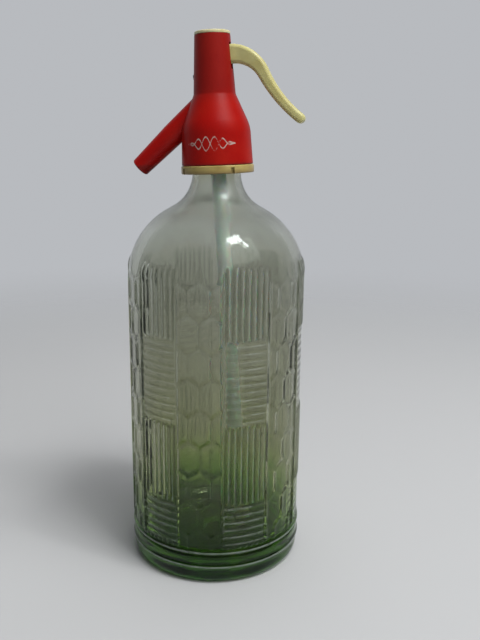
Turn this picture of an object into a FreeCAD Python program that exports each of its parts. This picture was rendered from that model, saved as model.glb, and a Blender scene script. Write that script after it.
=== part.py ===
"""Soda siphon: a pressed glass bottle with a screwed lever head.

The bottle stands on the XY plane with its axis on Z. The head has a frame of its own, with its origin where
the head is clamped to the neck and its axis leaning a little towards the spout, on -X. The lever is on +X.
"""
import FreeCAD, Part
import math
import os
from collections import namedtuple

import Sketcher

# Driving dimensions, in millimetres and degrees. Heights in the head are counted from its own origin.
SIZES = {
    # bottle: outside
    "body_radius": 49.0,
    "relief_depth": 0.65,
    "base_inset": 0.4,
    "foot_width": 6.5,
    "heel_round": 5.0,
    "low_ridge_level": 10.4,
    "low_ridge_width": 2.2,
    "high_ridge_level": 19.0,
    "high_ridge_width": 3.2,
    "ridge_height": 0.8,
    "border_ridge_width": 1.5,
    "border_ridge_top": 172.0,
    "shoulder_level": 162.5,
    "shoulder_radius": 42.7,
    "neck_radius": 13.15,
    "neck_sweep": 19.75,
    # bottle: inside and lip
    "glass_wall": 5.4,
    "floor_level": 9.0,
    "floor_crown": 2.0,
    "floor_round": 12.0,
    "punt_height": 3.5,
    "neck_bore": 9.8,
    "neck_band": 1.2,
    "groove_depth": 1.15,
    "groove_step": 0.6,
    "groove_height": 4.9,
    "bead_proud": 0.65,
    "bead_step": 0.5,
    "bead_height": 4.7,
    "lip_round": 1.2,
    "lip_edge": 0.8,
    # how the head sits
    "lean_rise": 2.5,
    "head_shift": 0.5,
    "head_lean_angle": 2.6,
    "tube_lean_angle": 4.2,
    # clamp ring and split collar
    "ring_proud": 0.45,
    "ring_drop": 2.4,
    "ring_height": 4.3,
    "ring_round": 0.6,
    "ring_spigot": 6.5,
    "ring_wall": 1.0,
    "ring_slot_width": 1.9,
    "ring_slot_depth": 1.3,
    "ring_slot_height": 3.2,
    "ring_slot_angle": -56.0,
    "bead_gap": 0.5,
    "collar_step": 0.6,
    "collar_play": 0.2,
    "collar_seat": 0.1,
    "collar_height": 3.3,
    "collar_split": 4.0,
    "thread_depth": 0.4,
    "thread_play": 0.1,
    "thread_step": 2.0,
    "thread_foot": 1.2,
    "thread_crest": 0.5,
    "thread_start": 2.9,
    # neck gasket
    "gasket_gap": 0.05,
    "gasket_inset": 0.3,
    "gasket_edge": 0.2,
    "gasket_reach": 8.0,
    # shell
    "shell_low": 2.1,
    "skirt_wall": 1.4,
    "shell_wall": 1.4,
    "skirt_top": 21.7,
    "skirt_taper": 0.85,
    "cone_top": 38.3,
    "cone_top_radius": 11.15,
    "shell_top": 67.9,
    "shell_top_radius": 9.4,
    "shell_top_wall": 1.1,
    "skirt_blend": 20.0,
    "cone_blend": 3.0,
    "rim_blend": 0.4,
    # valve body
    "body_low": 2.5,
    "body_skirt_wall": 1.0,
    "body_play": 0.15,
    "seat_level": 11.9,
    "body_skirt_top": 14.5,
    "body_web_radius": 14.6,
    "body_web_top": 17.2,
    "body_neck_foot": 19.8,
    "body_neck_radius": 9.8,
    "body_neck_top": 37.0,
    "body_tube_foot": 39.0,
    "body_top": 67.4,
    "guide_bore": 6.3,
    "chamber_radius": 4.8,
    "chamber_floor": 22.9,
    "chamber_top": 40.5,
    "nozzle_bore": 2.2,
    "nozzle_wall": 1.1,
    "nozzle_height": 0.8,
    "holder_bore": 7.0,
    "holder_bore_top": 19.0,
    # spout
    "spout_reach": 43.2,
    "spout_join": 38.86,
    "spout_angle": 40.7,
    "spout_tip_radius": 5.15,
    "spout_root_radius": 6.1,
    "spout_parallel": 31.0,
    "spout_edge": 0.5,
    "spout_bore": 3.0,
    "spout_play": 0.1,
    "port_radius": 3.4,
    "spigot_radius": 4.3,
    "spigot_cover": 23.0,
    "socket_stop": 4.0,
    "sleeve_wall": 1.15,
    "seal_thickness": 0.75,
    # dip tube and its holder
    "tube_radius": 4.0,
    "tube_wall": 1.4,
    "tube_top": 17.5,
    "tube_clearance": 5.0,
    "tube_bevel_angle": 35.0,
    "holder_play": 0.1,
    "holder_flange": 8.6,
    "holder_low": 9.7,
    "holder_flange_height": 2.1,
    "holder_top": 17.8,
    "holder_lip": 4.9,
    "holder_lip_height": 0.9,
    "grommet_radius": 5.6,
    "grommet_play": 0.22,
    # gland
    "packing_height": 2.0,
    "gland_play": 0.1,
    "gland_bore_play": 0.3,
    "gland_height": 2.6,
    "gland_slot_width": 1.4,
    "gland_slot_depth": 1.0,
    # valve train
    "stem_radius": 2.4,
    "stem_play": 0.06,
    "valve_gap": 0.05,
    "disc_radius": 4.0,
    "disc_thickness": 2.0,
    "disc_flange_radius": 3.8,
    "disc_flange_height": 1.0,
    "screw_radius": 1.0,
    "screw_head_radius": 1.7,
    "screw_head_height": 1.25,
    "screw_length": 3.2,
    "screw_gap": 0.05,
    "piston_low": 45.5,
    "piston_high": 60.5,
    "piston_radius": 6.0,
    "nose_slot_reach": 2.4,
    "nose_play": 0.15,
    "hub_cut_start": 1.9,
    "hub_cut_low": 51.5,
    "pin_relief": 0.35,
    "cup_radius": 5.2,
    "cup_height": 0.8,
    "cup_boss_radius": 2.2,
    "cup_boss_height": 1.2,
    "spring_radius": 3.3,
    "spring_wire": 0.8,
    "spring_pitch": 1.5,
    # cap
    "plug_low": 64.5,
    "plug_play": 0.1,
    "pocket_radius": 4.4,
    "pocket_top": 68.7,
    "washer_gap": 0.05,
    "washer_bore": 6.4,
    "washer_radius": 8.0,
    "cap_gap": 0.1,
    "cap_radius": 9.35,
    "cap_height": 1.9,
    "cap_dome": 0.35,
    "cap_round": 0.6,
    "cap_hole_radius": 0.9,
    "cap_hole_depth": 0.7,
    "cap_hole_reach": 6.2,
    # lever and its pin
    "pin_reach": 5.2,
    "pin_level": 56.7,
    "pin_radius": 1.25,
    "pin_half_length": 4.8,
    "pin_play": 0.05,
    "pin_fit": 0.01,
    "press_angle": 20.0,
    "nose_radius": 2.0,
    "nose_arm_half": 1.2,
    "root_width": 5.2,
    "slot_play": 0.3,
    "slot_low": 50.6,
    "slot_high": 63.8,
    "lever_root_reach": 10.0,
    "lever_root_top": 63.0,
    "lever_root_low": 53.25,
    "hub_top_reach": 4.2,
    "hub_top_level": 59.4,
    "hub_low_reach": 4.7,
    "hub_low_level": 53.4,
    "back_bend_reach": 29.0,
    "back_bend_level": 49.7,
    "back_bend_radius": 22.0,
    "back_sweep": 60.6,
    "belly_bend_reach": 24.0,
    "belly_bend_level": 45.5,
    "belly_bend_radius": 15.2,
    "belly_sweep": 81.5,
    "lever_tip_reach": 45.03,
    "lever_tip_level": 24.37,
    "lever_tip_round": 2.6,
    "belly_tip_angle": -129.4,
    "back_tip_angle": 51.1,
    "lever_width": 10.4,
    "flare_start": 11.0,
    "flare_run": 24.0,
    "flare_round": 20.0,
    "lever_edge": 1.9,
    # grub screw in the shell
    "grub_level": 47.4,
    "grub_radius": 1.3,
    "grub_inner": 7.0,
    "grub_outer": 10.95,
    "grub_slot_width": 0.5,
    "grub_slot_depth": 0.6,
}

BORDER_RIDGES = 12
RING_SLOTS = 4
THREAD_RIDGES = 3

# Sizes and places that follow from the driving dimensions.
WORKED_OUT = {
    "field_radius": "dim.body_radius - dim.relief_depth",
    "shoulder_centre": "dim.body_radius - dim.shoulder_radius",
    "sweep_centre": "dim.neck_radius + dim.neck_sweep",
    "sweep_rise": "sqrt((dim.shoulder_radius + dim.neck_sweep)^2 - (sweep_centre - shoulder_centre)^2)",
    "neck_foot": "dim.shoulder_level + sweep_rise",
    "field_top": "dim.shoulder_level + sqrt(dim.shoulder_radius^2 - (field_radius - shoulder_centre)^2)",
    "shoulder_share": "dim.shoulder_radius / (dim.shoulder_radius + dim.neck_sweep)",
    "turn_radius": "shoulder_centre + (sweep_centre - shoulder_centre) * shoulder_share",
    "turn_level": "dim.shoulder_level + sweep_rise * shoulder_share",
    "inner_radius": "dim.body_radius - dim.glass_wall",
    "inner_shoulder": "dim.shoulder_radius - dim.glass_wall",
    "inner_sweep": "dim.neck_sweep + dim.glass_wall",
    "inner_sweep_centre": "dim.neck_bore + inner_sweep",
    "inner_reach": "inner_sweep_centre - shoulder_centre",
    "inner_rise": "sqrt((inner_shoulder + inner_sweep)^2 - inner_reach^2)",
    "inner_share": "inner_shoulder / (inner_shoulder + inner_sweep)",
    "inner_turn_radius": "shoulder_centre + inner_reach * inner_share",
    "inner_turn_level": "dim.shoulder_level + inner_rise * inner_share",
    "inner_neck_foot": "dim.shoulder_level + inner_rise",
    "base_radius": "dim.body_radius - dim.base_inset",
    "foot_radius": "base_radius - dim.heel_round",
    "low_ridge_foot": "dim.low_ridge_level - dim.low_ridge_width / 2",
    "high_ridge_foot": "dim.high_ridge_level - dim.high_ridge_width / 2",
    "low_ridge_round": "(dim.low_ridge_width^2 / 4 + dim.ridge_height^2) / (2 * dim.ridge_height)",
    "high_ridge_span": "dim.high_ridge_width^2 + (base_radius - field_radius)^2",
    "high_ridge_round": "(high_ridge_span / 4 + dim.ridge_height^2) / (2 * dim.ridge_height)",
    "groove_radius": "dim.neck_radius - dim.groove_depth",
    "groove_low": "neck_foot + dim.neck_band",
    "groove_high": "groove_low + dim.groove_step + dim.groove_height",
    "bead_radius": "dim.neck_radius + dim.bead_proud",
    "lip_top": "groove_high + dim.bead_height",
    "lean_level": "neck_foot + dim.lean_rise",
    "ring_bore": "bead_radius + dim.bead_gap",
    "collar_radius": "ring_bore + dim.collar_step",
    "collar_bore": "groove_radius + dim.head_shift + dim.collar_play",
    "ring_socket": "collar_radius + dim.collar_play",
    "ring_shank": "ring_socket + dim.ring_wall",
    "ring_crest": "ring_shank + dim.thread_depth",
    "flange_top": "dim.ring_height - dim.ring_drop",
    "ring_top": "flange_top + dim.ring_spigot",
    "skirt_bore": "ring_shank + dim.thread_play",
    "skirt_groove": "ring_crest + dim.thread_play",
    "body_skirt_radius": "skirt_groove + dim.body_skirt_wall",
    "skirt_inner": "body_skirt_radius + dim.body_play",
    "shell_radius": "skirt_inner + dim.skirt_wall",
    "skirt_top_radius": "shell_radius - dim.skirt_taper",
    "ring_radius": "shell_radius + dim.ring_proud",
    "skirt_rise": "dim.skirt_top - dim.shell_low - dim.rim_blend",
    "skirt_slope": "atan((shell_radius - skirt_top_radius) / skirt_rise)",
    "cone_slope": "atan((skirt_top_radius - dim.cone_top_radius) / (dim.cone_top - dim.skirt_top))",
    "tube_rise": "dim.shell_top - dim.rim_blend - dim.cone_top",
    "tube_slope": "atan((dim.cone_top_radius - dim.shell_top_radius) / tube_rise)",
    "skirt_tangent": "dim.skirt_blend * tan((cone_slope - skirt_slope) / 2)",
    "cone_tangent": "dim.cone_blend * tan((cone_slope - tube_slope) / 2)",
    "body_tube_radius": "dim.shell_top_radius - dim.shell_top_wall - dim.body_play",
    "nozzle_top": "dim.chamber_floor + dim.nozzle_height",
    "sleeve_radius": "dim.chamber_radius + dim.sleeve_wall",
    "seal_inner": "sleeve_radius + dim.valve_gap",
    "seal_outer": "seal_inner + dim.seal_thickness",
    "spigot_end": "seal_outer + dim.valve_gap",
    "spout_drop": "dim.spout_join - dim.spout_reach * tan(dim.spout_angle)",
    "spout_cross": "dim.spout_reach / cos(dim.spout_angle)",
    "spout_taper": "spout_cross - dim.spout_parallel",
    "spigot_start": "spout_cross - dim.spigot_cover",
    "spigot_run": "spout_cross - dim.socket_stop",
    "spout_run": "(dim.spout_reach - dim.chamber_radius / 2) / cos(dim.spout_angle)",
    "packing_top": "dim.chamber_top + dim.packing_height",
    "gland_low": "packing_top + dim.valve_gap",
    "gland_top": "gland_low + dim.gland_height",
    "disc_low": "nozzle_top + dim.valve_gap",
    "disc_high": "disc_low + dim.disc_thickness",
    "stem_low": "disc_high + dim.disc_flange_height",
    "half_travel": "dim.press_angle / 2",
    "nose_reach": "dim.pin_reach - dim.pin_reach * cos(half_travel)",
    "nose_level": "dim.pin_level - dim.pin_reach * sin(half_travel)",
    "nose_foot": "sqrt(dim.nose_radius^2 - dim.nose_arm_half^2)",
    "nose_foot_x": "nose_reach + nose_foot * cos(half_travel)",
    "nose_foot_z": "nose_level + nose_foot * sin(half_travel)",
    "arm_x": "dim.nose_arm_half * sin(half_travel)",
    "arm_z": "dim.nose_arm_half * cos(half_travel)",
    "tip_turn": "(dim.belly_tip_angle + dim.back_tip_angle) / 2",
    "flare_rise": "(dim.lever_width - dim.root_width) / 2",
    "flare_sum": "(dim.flare_run^2 + flare_rise^2) / (2 * flare_rise)",
    "flare_turn_reach": "dim.flare_start + dim.flare_round * dim.flare_run / flare_sum",
    "flare_turn_width": "dim.root_width / 2 + dim.flare_round * flare_rise / flare_sum",
    "flare_sweep": "flare_sum - dim.flare_round",
    "nose_slot_half": "dim.nose_radius + dim.nose_play",
    "slot_half": "dim.root_width / 2 + dim.slot_play",
    "piston_flat": "dim.pin_reach - dim.pin_radius - dim.pin_relief",
    "spring_low": "dim.piston_high + dim.cup_height",
    "spring_height": "dim.pocket_top - spring_low - dim.spring_wire - dim.valve_gap * 2",
    "cap_low": "dim.shell_top + dim.cap_gap",
    "cap_top": "cap_low + dim.cap_height",
    "tube_pivot": "(dim.holder_low + dim.holder_top) / 2",
    "tube_pivot_x": "dim.head_shift - tube_pivot * sin(dim.head_lean_angle)",
    "tube_pivot_z": "lean_level + tube_pivot * cos(dim.head_lean_angle)",
    "tube_foot_z": "dim.floor_level + dim.floor_crown + dim.tube_clearance",
    "tube_length": "(tube_pivot_z - tube_foot_z) / cos(dim.tube_lean_angle)",
    "bevel_rise": "2 * dim.tube_radius * tan(dim.tube_bevel_angle)",
}

Arc = namedtuple("Arc", "radius turn large", defaults=(False,))
LEFT, RIGHT = 1, -1
XY, XZ, YZ = "XY_Plane", "XZ_Plane", "YZ_Plane"
UPRIGHT, LYING = "V_Axis", "H_Axis"

doc = FreeCAD.newDocument("soda_siphon")


def fill(name, table, prefix):
    """Write a table of values or formulas into a spreadsheet, one named cell for each."""
    sheet = doc.addObject("Spreadsheet::Sheet", name)
    for row, (alias, content) in enumerate(table.items(), start=1):
        sheet.set("A%d" % row, alias)
        sheet.set("B%d" % row, prefix + str(content))
        sheet.setAlias("B%d" % row, alias)
    doc.recompute()
    return sheet


dim = fill("dim", SIZES, "")
at = fill("at", WORKED_OUT, "=")


def number(text):
    """The value of an expression on the sheets."""
    return float(dim.evalExpression(text))


def sub_part(label, frame=None):
    """A new body, placed in one of the frames."""
    body = doc.addObject("PartDesign::Body", label)
    body.Label = label
    if frame:
        body.Placement = FRAMES[frame]()
    return body


def leaning(x, z, angle):
    """A frame with its origin at x and z and its axis leaning towards -X."""
    rotation = FreeCAD.Rotation(FreeCAD.Vector(0, -1, 0), number(angle))
    return FreeCAD.Placement(FreeCAD.Vector(number(x), 0, number(z)), rotation)


def head_frame():
    """The head's frame: its origin on the lean level, in the middle of the clamp."""
    return leaning("dim.head_shift", "at.lean_level", "dim.head_lean_angle")


def tube_frame():
    """The dip tube's frame: its origin in the middle of the grommet."""
    return leaning("at.tube_pivot_x", "at.tube_pivot_z", "dim.tube_lean_angle")


FRAMES = {"head": head_frame, "tube": tube_frame}


def new_sketch(body, name, plane, shift=("0", "0", "0"), turn="0", about=(0, 0, 1)):
    """A sketch on one of the body's own planes, shifted and turned within it."""
    sketch = body.newObject("Sketcher::SketchObject", name)
    planes = {item.Role: item for item in body.Origin.OriginFeatures}
    sketch.AttachmentSupport = [(planes[plane], "")]
    sketch.MapMode = "FlatFace"
    place = FreeCAD.Vector(*(number(text) for text in shift))
    rotation = FreeCAD.Rotation(FreeCAD.Vector(*about), number(turn))
    sketch.AttachmentOffset = FreeCAD.Placement(place, rotation)
    for axis, text in zip("xyz", shift):
        if text != "0":
            sketch.setExpression("AttachmentOffset.Base." + axis, text)
    return sketch


def fix_point(sketch, geometry, end, texts):
    """Tie one end of an edge to its place."""
    for kind, axis, text in (("DistanceX", -2, texts[0]), ("DistanceY", -1, texts[1])):
        value = number(text)
        if value == 0:
            sketch.addConstraint(Sketcher.Constraint("PointOnObject", geometry, end, axis))
            continue
        index = sketch.addConstraint(Sketcher.Constraint(kind, -1, 1, geometry, end, value))
        sketch.setExpression("Constraints[%d]" % index, text)


def arc_middle(start, end, arc):
    """The point halfway along an arc from start to end."""
    radius = number(arc.radius)
    chord = end - start
    height = math.sqrt(max(radius ** 2 - (chord.Length / 2) ** 2, 0))
    bulge = radius + height if arc.large else radius - height
    side = FreeCAD.Vector(chord.y, -chord.x, 0).normalize()
    return (start + end) / 2 + side * bulge * arc.turn


def draw(sketch, outline):
    """Draw a closed outline of points, each with the arc to the next one if that edge isn't straight."""
    corners = [FreeCAD.Vector(number(point[0]), number(point[1]), 0) for point in outline]
    ends = []
    for index, point in enumerate(outline):
        start, end = corners[index], corners[(index + 1) % len(corners)]
        if len(point) == 3:
            edge = sketch.addGeometry(Part.Arc(start, arc_middle(start, end, point[2]), end))
        else:
            edge = sketch.addGeometry(Part.LineSegment(start, end))
        forward = (sketch.getPoint(edge, 1) - start).Length < (sketch.getPoint(edge, 2) - start).Length
        ends.append((edge, 1, 2) if forward else (edge, 2, 1))
    for index, point in enumerate(outline):
        edge, first, last = ends[index]
        following = ends[(index + 1) % len(ends)]
        sketch.addConstraint(Sketcher.Constraint("Coincident", edge, last, following[0], following[1]))
        if len(point) == 3:
            tie = sketch.addConstraint(Sketcher.Constraint("Radius", edge, number(point[2].radius)))
            sketch.setExpression("Constraints[%d]" % tie, point[2].radius)
        fix_point(sketch, edge, first, point)
    return sketch


def draw_circle(sketch, x, y, radius):
    """Draw a circle tied to its centre and radius."""
    centre = FreeCAD.Vector(number(x), number(y), 0)
    edge = sketch.addGeometry(Part.Circle(centre, FreeCAD.Vector(0, 0, 1), number(radius)))
    tie = sketch.addConstraint(Sketcher.Constraint("Radius", edge, number(radius)))
    sketch.setExpression("Constraints[%d]" % tie, radius)
    fix_point(sketch, edge, 3, (x, y))
    return sketch


def box_outline(left, right, low, high):
    """The outline of an upright rectangle."""
    return [(left, low), (right, low), (right, high), (left, high)]


def revolve(body, kind, sketch, axis=UPRIGHT, angle=360):
    """Turn a sketch about one of its axes, to add a solid or to cut a groove."""
    before = body.Shape.Volume if kind == "Groove" else 0
    feature = body.newObject("PartDesign::" + kind, kind)
    feature.Profile = sketch
    feature.ReferenceAxis = (sketch, [axis])
    feature.Angle = angle
    feature.Midplane = angle < 360
    return settle(body, feature, before, kind == "Groove")


def extrude(body, kind, sketch, length=None, both=False, reverse=False):
    """Pad or pocket a sketch by a length, or through everything when no length is given."""
    before = body.Shape.Volume if kind == "Pocket" else 0
    feature = body.newObject("PartDesign::" + kind, kind)
    feature.Profile = sketch
    feature.SideType = "Symmetric" if both else "One side"
    feature.Reversed = reverse
    if length is None:
        feature.Type = "ThroughAll"
    else:
        feature.setExpression("Length", length)
    return settle(body, feature, before, kind == "Pocket")


def settle(body, feature, before, is_cut):
    """Recompute a feature and see that a cut takes something away."""
    doc.recompute()
    if is_cut and body.Shape.Volume > before - 1e-6:
        raise RuntimeError("%s cuts nothing from %s" % (feature.Name, body.Label))
    return feature


def repeat(body, feature, count):
    """Repeat a feature evenly about the body's upright axis."""
    axis = [item for item in body.Origin.OriginFeatures if item.Role == "Z_Axis"][0]
    pattern = body.newObject("PartDesign::PolarPattern", "PolarPattern")
    pattern.Originals = [feature]
    pattern.Axis = (axis, [""])
    pattern.Angle = 360
    pattern.Occurrences = count
    body.Tip = pattern
    doc.recompute()
    return pattern


def blend(body, edges, radius):
    """Round the named edges of a body."""
    base = body.Tip
    fillet = body.newObject("PartDesign::Fillet", "Fillet")
    fillet.Base = (base, edges)
    fillet.setExpression("Radius", radius)
    body.Tip = fillet
    doc.recompute()
    return fillet


def turned(label, outline, frame=None):
    """A sub-part turned about its own upright axis."""
    body = sub_part(label, frame)
    revolve(body, "Revolution", draw(new_sketch(body, "profile", XZ), outline))
    return body


def thread(root, crest, start, order):
    """Points of a thread's ridges, or of the grooves that take them, upwards or downwards."""
    slope = "(dim.thread_foot - dim.thread_crest) / 2"
    points = []
    for ridge in range(THREAD_RIDGES):
        foot = "%s + %d * dim.thread_step" % (start, ridge)
        points += [
            (root, foot),
            (crest, foot + " + " + slope),
            (crest, foot + " + dim.thread_foot - " + slope),
            (root, foot + " + dim.thread_foot"),
        ]
    return points[::order]


# ---------------------------------------------------------------- glass
def make_bottle():
    """The bottle: base bands, pattern field between border ridges, shoulder, neck and lip."""
    outline = [
        ("0", "dim.punt_height"),
        ("at.foot_radius - dim.foot_width", "0"),
        ("at.foot_radius", "0", Arc("dim.heel_round", LEFT)),
        ("at.base_radius", "dim.heel_round"),
        ("at.base_radius", "at.low_ridge_foot", Arc("at.low_ridge_round", LEFT)),
        ("at.base_radius", "at.low_ridge_foot + dim.low_ridge_width"),
        ("at.base_radius", "at.high_ridge_foot", Arc("at.high_ridge_round", LEFT)),
        ("at.field_radius", "at.high_ridge_foot + dim.high_ridge_width"),
        ("at.field_radius", "at.field_top", Arc("dim.shoulder_radius", LEFT)),
        ("at.turn_radius", "at.turn_level", Arc("dim.neck_sweep", RIGHT)),
        ("dim.neck_radius", "at.neck_foot"),
        ("dim.neck_radius", "at.groove_low"),
        ("at.groove_radius", "at.groove_low + dim.groove_step"),
        ("at.groove_radius", "at.groove_high"),
        ("at.bead_radius", "at.groove_high + dim.bead_step"),
        ("at.bead_radius", "at.lip_top - dim.lip_round", Arc("dim.lip_round", LEFT)),
        ("at.bead_radius - dim.lip_round", "at.lip_top"),
        ("dim.neck_bore + dim.lip_edge", "at.lip_top"),
        ("dim.neck_bore", "at.lip_top - dim.lip_edge"),
        ("dim.neck_bore", "at.inner_neck_foot", Arc("at.inner_sweep", LEFT)),
        ("at.inner_turn_radius", "at.inner_turn_level", Arc("at.inner_shoulder", RIGHT)),
        ("at.inner_radius", "dim.shoulder_level"),
        ("at.inner_radius", "dim.floor_level + dim.floor_round", Arc("dim.floor_round", RIGHT)),
        ("at.inner_radius - dim.floor_round", "dim.floor_level"),
        ("0", "dim.floor_level + dim.floor_crown"),
    ]
    bottle = turned("bottle", outline)
    # border ridges between the columns of the pattern
    half_column = str(180.0 / BORDER_RIDGES)
    ridge = new_sketch(bottle, "border_ridge", XY, ("0", "0", "dim.high_ridge_level"), half_column)
    draw_circle(ridge, "at.field_radius", "0", "dim.border_ridge_width / 2")
    pad = extrude(bottle, "Pad", ridge, "dim.border_ridge_top - dim.high_ridge_level")
    repeat(bottle, pad, BORDER_RIDGES)
    return bottle


# ---------------------------------------------------------------- clamp
def make_collar_half(label, turn):
    """Half of the split collar, on the +X side or turned to the -X side."""
    body = sub_part(label, "head")
    sketch = new_sketch(body, "profile", XZ, turn=turn, about=(0, 1, 0))
    low = "dim.collar_seat + dim.valve_gap"
    draw(sketch, box_outline("at.collar_bore", "at.collar_radius", low, low + " + dim.collar_height"))
    revolve(body, "Revolution", sketch, angle=180 - number("dim.collar_split"))
    return body


def make_clamp_ring():
    """The threaded ring, with slots for a spanner from below."""
    low = "-dim.ring_drop"
    outline = [
        ("at.ring_bore", low),
        ("at.ring_radius - dim.ring_round", low, Arc("dim.ring_round", LEFT)),
        ("at.ring_radius", low + " + dim.ring_round"),
        ("at.ring_radius", "at.flange_top - dim.ring_round", Arc("dim.ring_round", LEFT)),
        ("at.ring_radius - dim.ring_round", "at.flange_top"),
        ("at.ring_shank", "at.flange_top"),
    ]
    outline += thread("at.ring_shank", "at.ring_crest", "dim.thread_start", 1)
    outline += [
        ("at.ring_shank", "at.ring_top"),
        ("at.ring_socket", "at.ring_top"),
        ("at.ring_socket", "dim.collar_seat"),
        ("at.ring_bore", "dim.collar_seat"),
    ]
    ring = turned("clamp_ring", outline, "head")
    slot = new_sketch(ring, "slot", XY, ("0", "0", "-dim.ring_drop"), "dim.ring_slot_angle")
    inner, outer = "at.ring_radius - dim.ring_slot_depth", "at.ring_radius + dim.ring_slot_depth"
    draw(slot, box_outline(inner, outer, "-dim.ring_slot_width / 2", "dim.ring_slot_width / 2"))
    cut = extrude(ring, "Pocket", slot, "dim.ring_slot_height", reverse=True)
    repeat(ring, cut, RING_SLOTS)
    return ring


def make_neck_gasket():
    """The washer between the level lip and the leaning seat: a ring cut off along the seat's plane."""
    bore = doc.addObject("Part::Cylinder", "gasket_bore")
    bore.setExpression("Radius", "dim.neck_bore + dim.gasket_inset")
    blank = doc.addObject("Part::Cylinder", "gasket_blank")
    blank.setExpression("Radius", "at.bead_radius - dim.gasket_edge")
    for cylinder in (bore, blank):
        cylinder.setExpression("Height", "dim.gasket_reach")
        cylinder.setExpression("Placement.Base.z", "at.lip_top + dim.gasket_gap")
    ring = doc.addObject("Part::Cut", "gasket_ring")
    ring.Base, ring.Tool = blank, bore
    above_seat = doc.addObject("Part::Cylinder", "above_seat")
    above_seat.setExpression("Radius", "at.shell_radius")
    above_seat.setExpression("Height", "2 * dim.gasket_reach")
    seat = FreeCAD.Vector(0, 0, number("dim.seat_level - dim.gasket_gap"))
    above_seat.Placement = head_frame().multiply(FreeCAD.Placement(seat, FreeCAD.Rotation()))
    gasket = doc.addObject("Part::Cut", "neck_gasket")
    gasket.Base, gasket.Tool = ring, above_seat
    gasket.Label = "neck_gasket"
    doc.recompute()
    return gasket


# ---------------------------------------------------------------- head
def spout_sketch(body, name):
    """A sketch whose own X axis runs up the spout from the middle of its mouth."""
    shift = ("-dim.spout_reach", "at.spout_drop", "0")
    return new_sketch(body, name, XZ, shift, "dim.spout_angle")


def cut_lever_slot(body):
    """Cut the slot that the lever swings in, through the +X side only."""
    slot = new_sketch(body, "lever_slot", YZ)
    draw(slot, box_outline("-at.slot_half", "at.slot_half", "dim.slot_low", "dim.slot_high"))
    extrude(body, "Pocket", slot, reverse=True)


def cut_round(body, name, radius):
    """Cut away all that lies within a radius of the head's axis."""
    extrude(body, "Pocket", draw_circle(new_sketch(body, name, XY), "0", "0", radius), both=True)


def cut_grub_hole(body):
    """Cut the hole of the grub screw, through the -X side only."""
    hole = new_sketch(body, "grub_hole", YZ)
    draw_circle(hole, "0", "dim.grub_level", "dim.grub_radius + dim.pin_fit")
    extrude(body, "Pocket", hole)


def make_head_shell():
    """The cover: a tapering skirt, a cone and a tube, with holes for the spout, the lever and a screw."""
    outline = [
        ("at.skirt_inner", "dim.shell_low"),
        ("at.shell_radius - dim.rim_blend", "dim.shell_low", Arc("dim.rim_blend", LEFT)),
        ("at.shell_radius", "dim.shell_low + dim.rim_blend"),
        (
            "at.skirt_top_radius + at.skirt_tangent * sin(at.skirt_slope)",
            "dim.skirt_top - at.skirt_tangent * cos(at.skirt_slope)",
            Arc("dim.skirt_blend", LEFT),
        ),
        (
            "at.skirt_top_radius - at.skirt_tangent * sin(at.cone_slope)",
            "dim.skirt_top + at.skirt_tangent * cos(at.cone_slope)",
        ),
        (
            "dim.cone_top_radius + at.cone_tangent * sin(at.cone_slope)",
            "dim.cone_top - at.cone_tangent * cos(at.cone_slope)",
            Arc("dim.cone_blend", RIGHT),
        ),
        (
            "dim.cone_top_radius - at.cone_tangent * sin(at.tube_slope)",
            "dim.cone_top + at.cone_tangent * cos(at.tube_slope)",
        ),
        ("dim.shell_top_radius", "dim.shell_top - dim.rim_blend", Arc("dim.rim_blend", LEFT)),
        ("dim.shell_top_radius - dim.rim_blend", "dim.shell_top"),
        ("dim.shell_top_radius - dim.shell_top_wall", "dim.shell_top"),
        ("dim.cone_top_radius - dim.shell_wall", "dim.cone_top - dim.shell_wall / 4"),
        ("at.skirt_top_radius - dim.shell_wall", "dim.skirt_top - dim.shell_wall / 4"),
        ("at.skirt_inner", "dim.body_skirt_top"),
    ]
    shell = turned("head_shell", outline, "head")
    hole = spout_sketch(shell, "spout_hole")
    draw(hole, box_outline("at.spout_taper - dim.spout_root_radius", "at.spout_run",
                           "0", "dim.spout_root_radius + dim.spout_play"))
    revolve(shell, "Groove", hole, LYING)
    cut_lever_slot(shell)
    cut_grub_hole(shell)
    return shell


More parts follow.
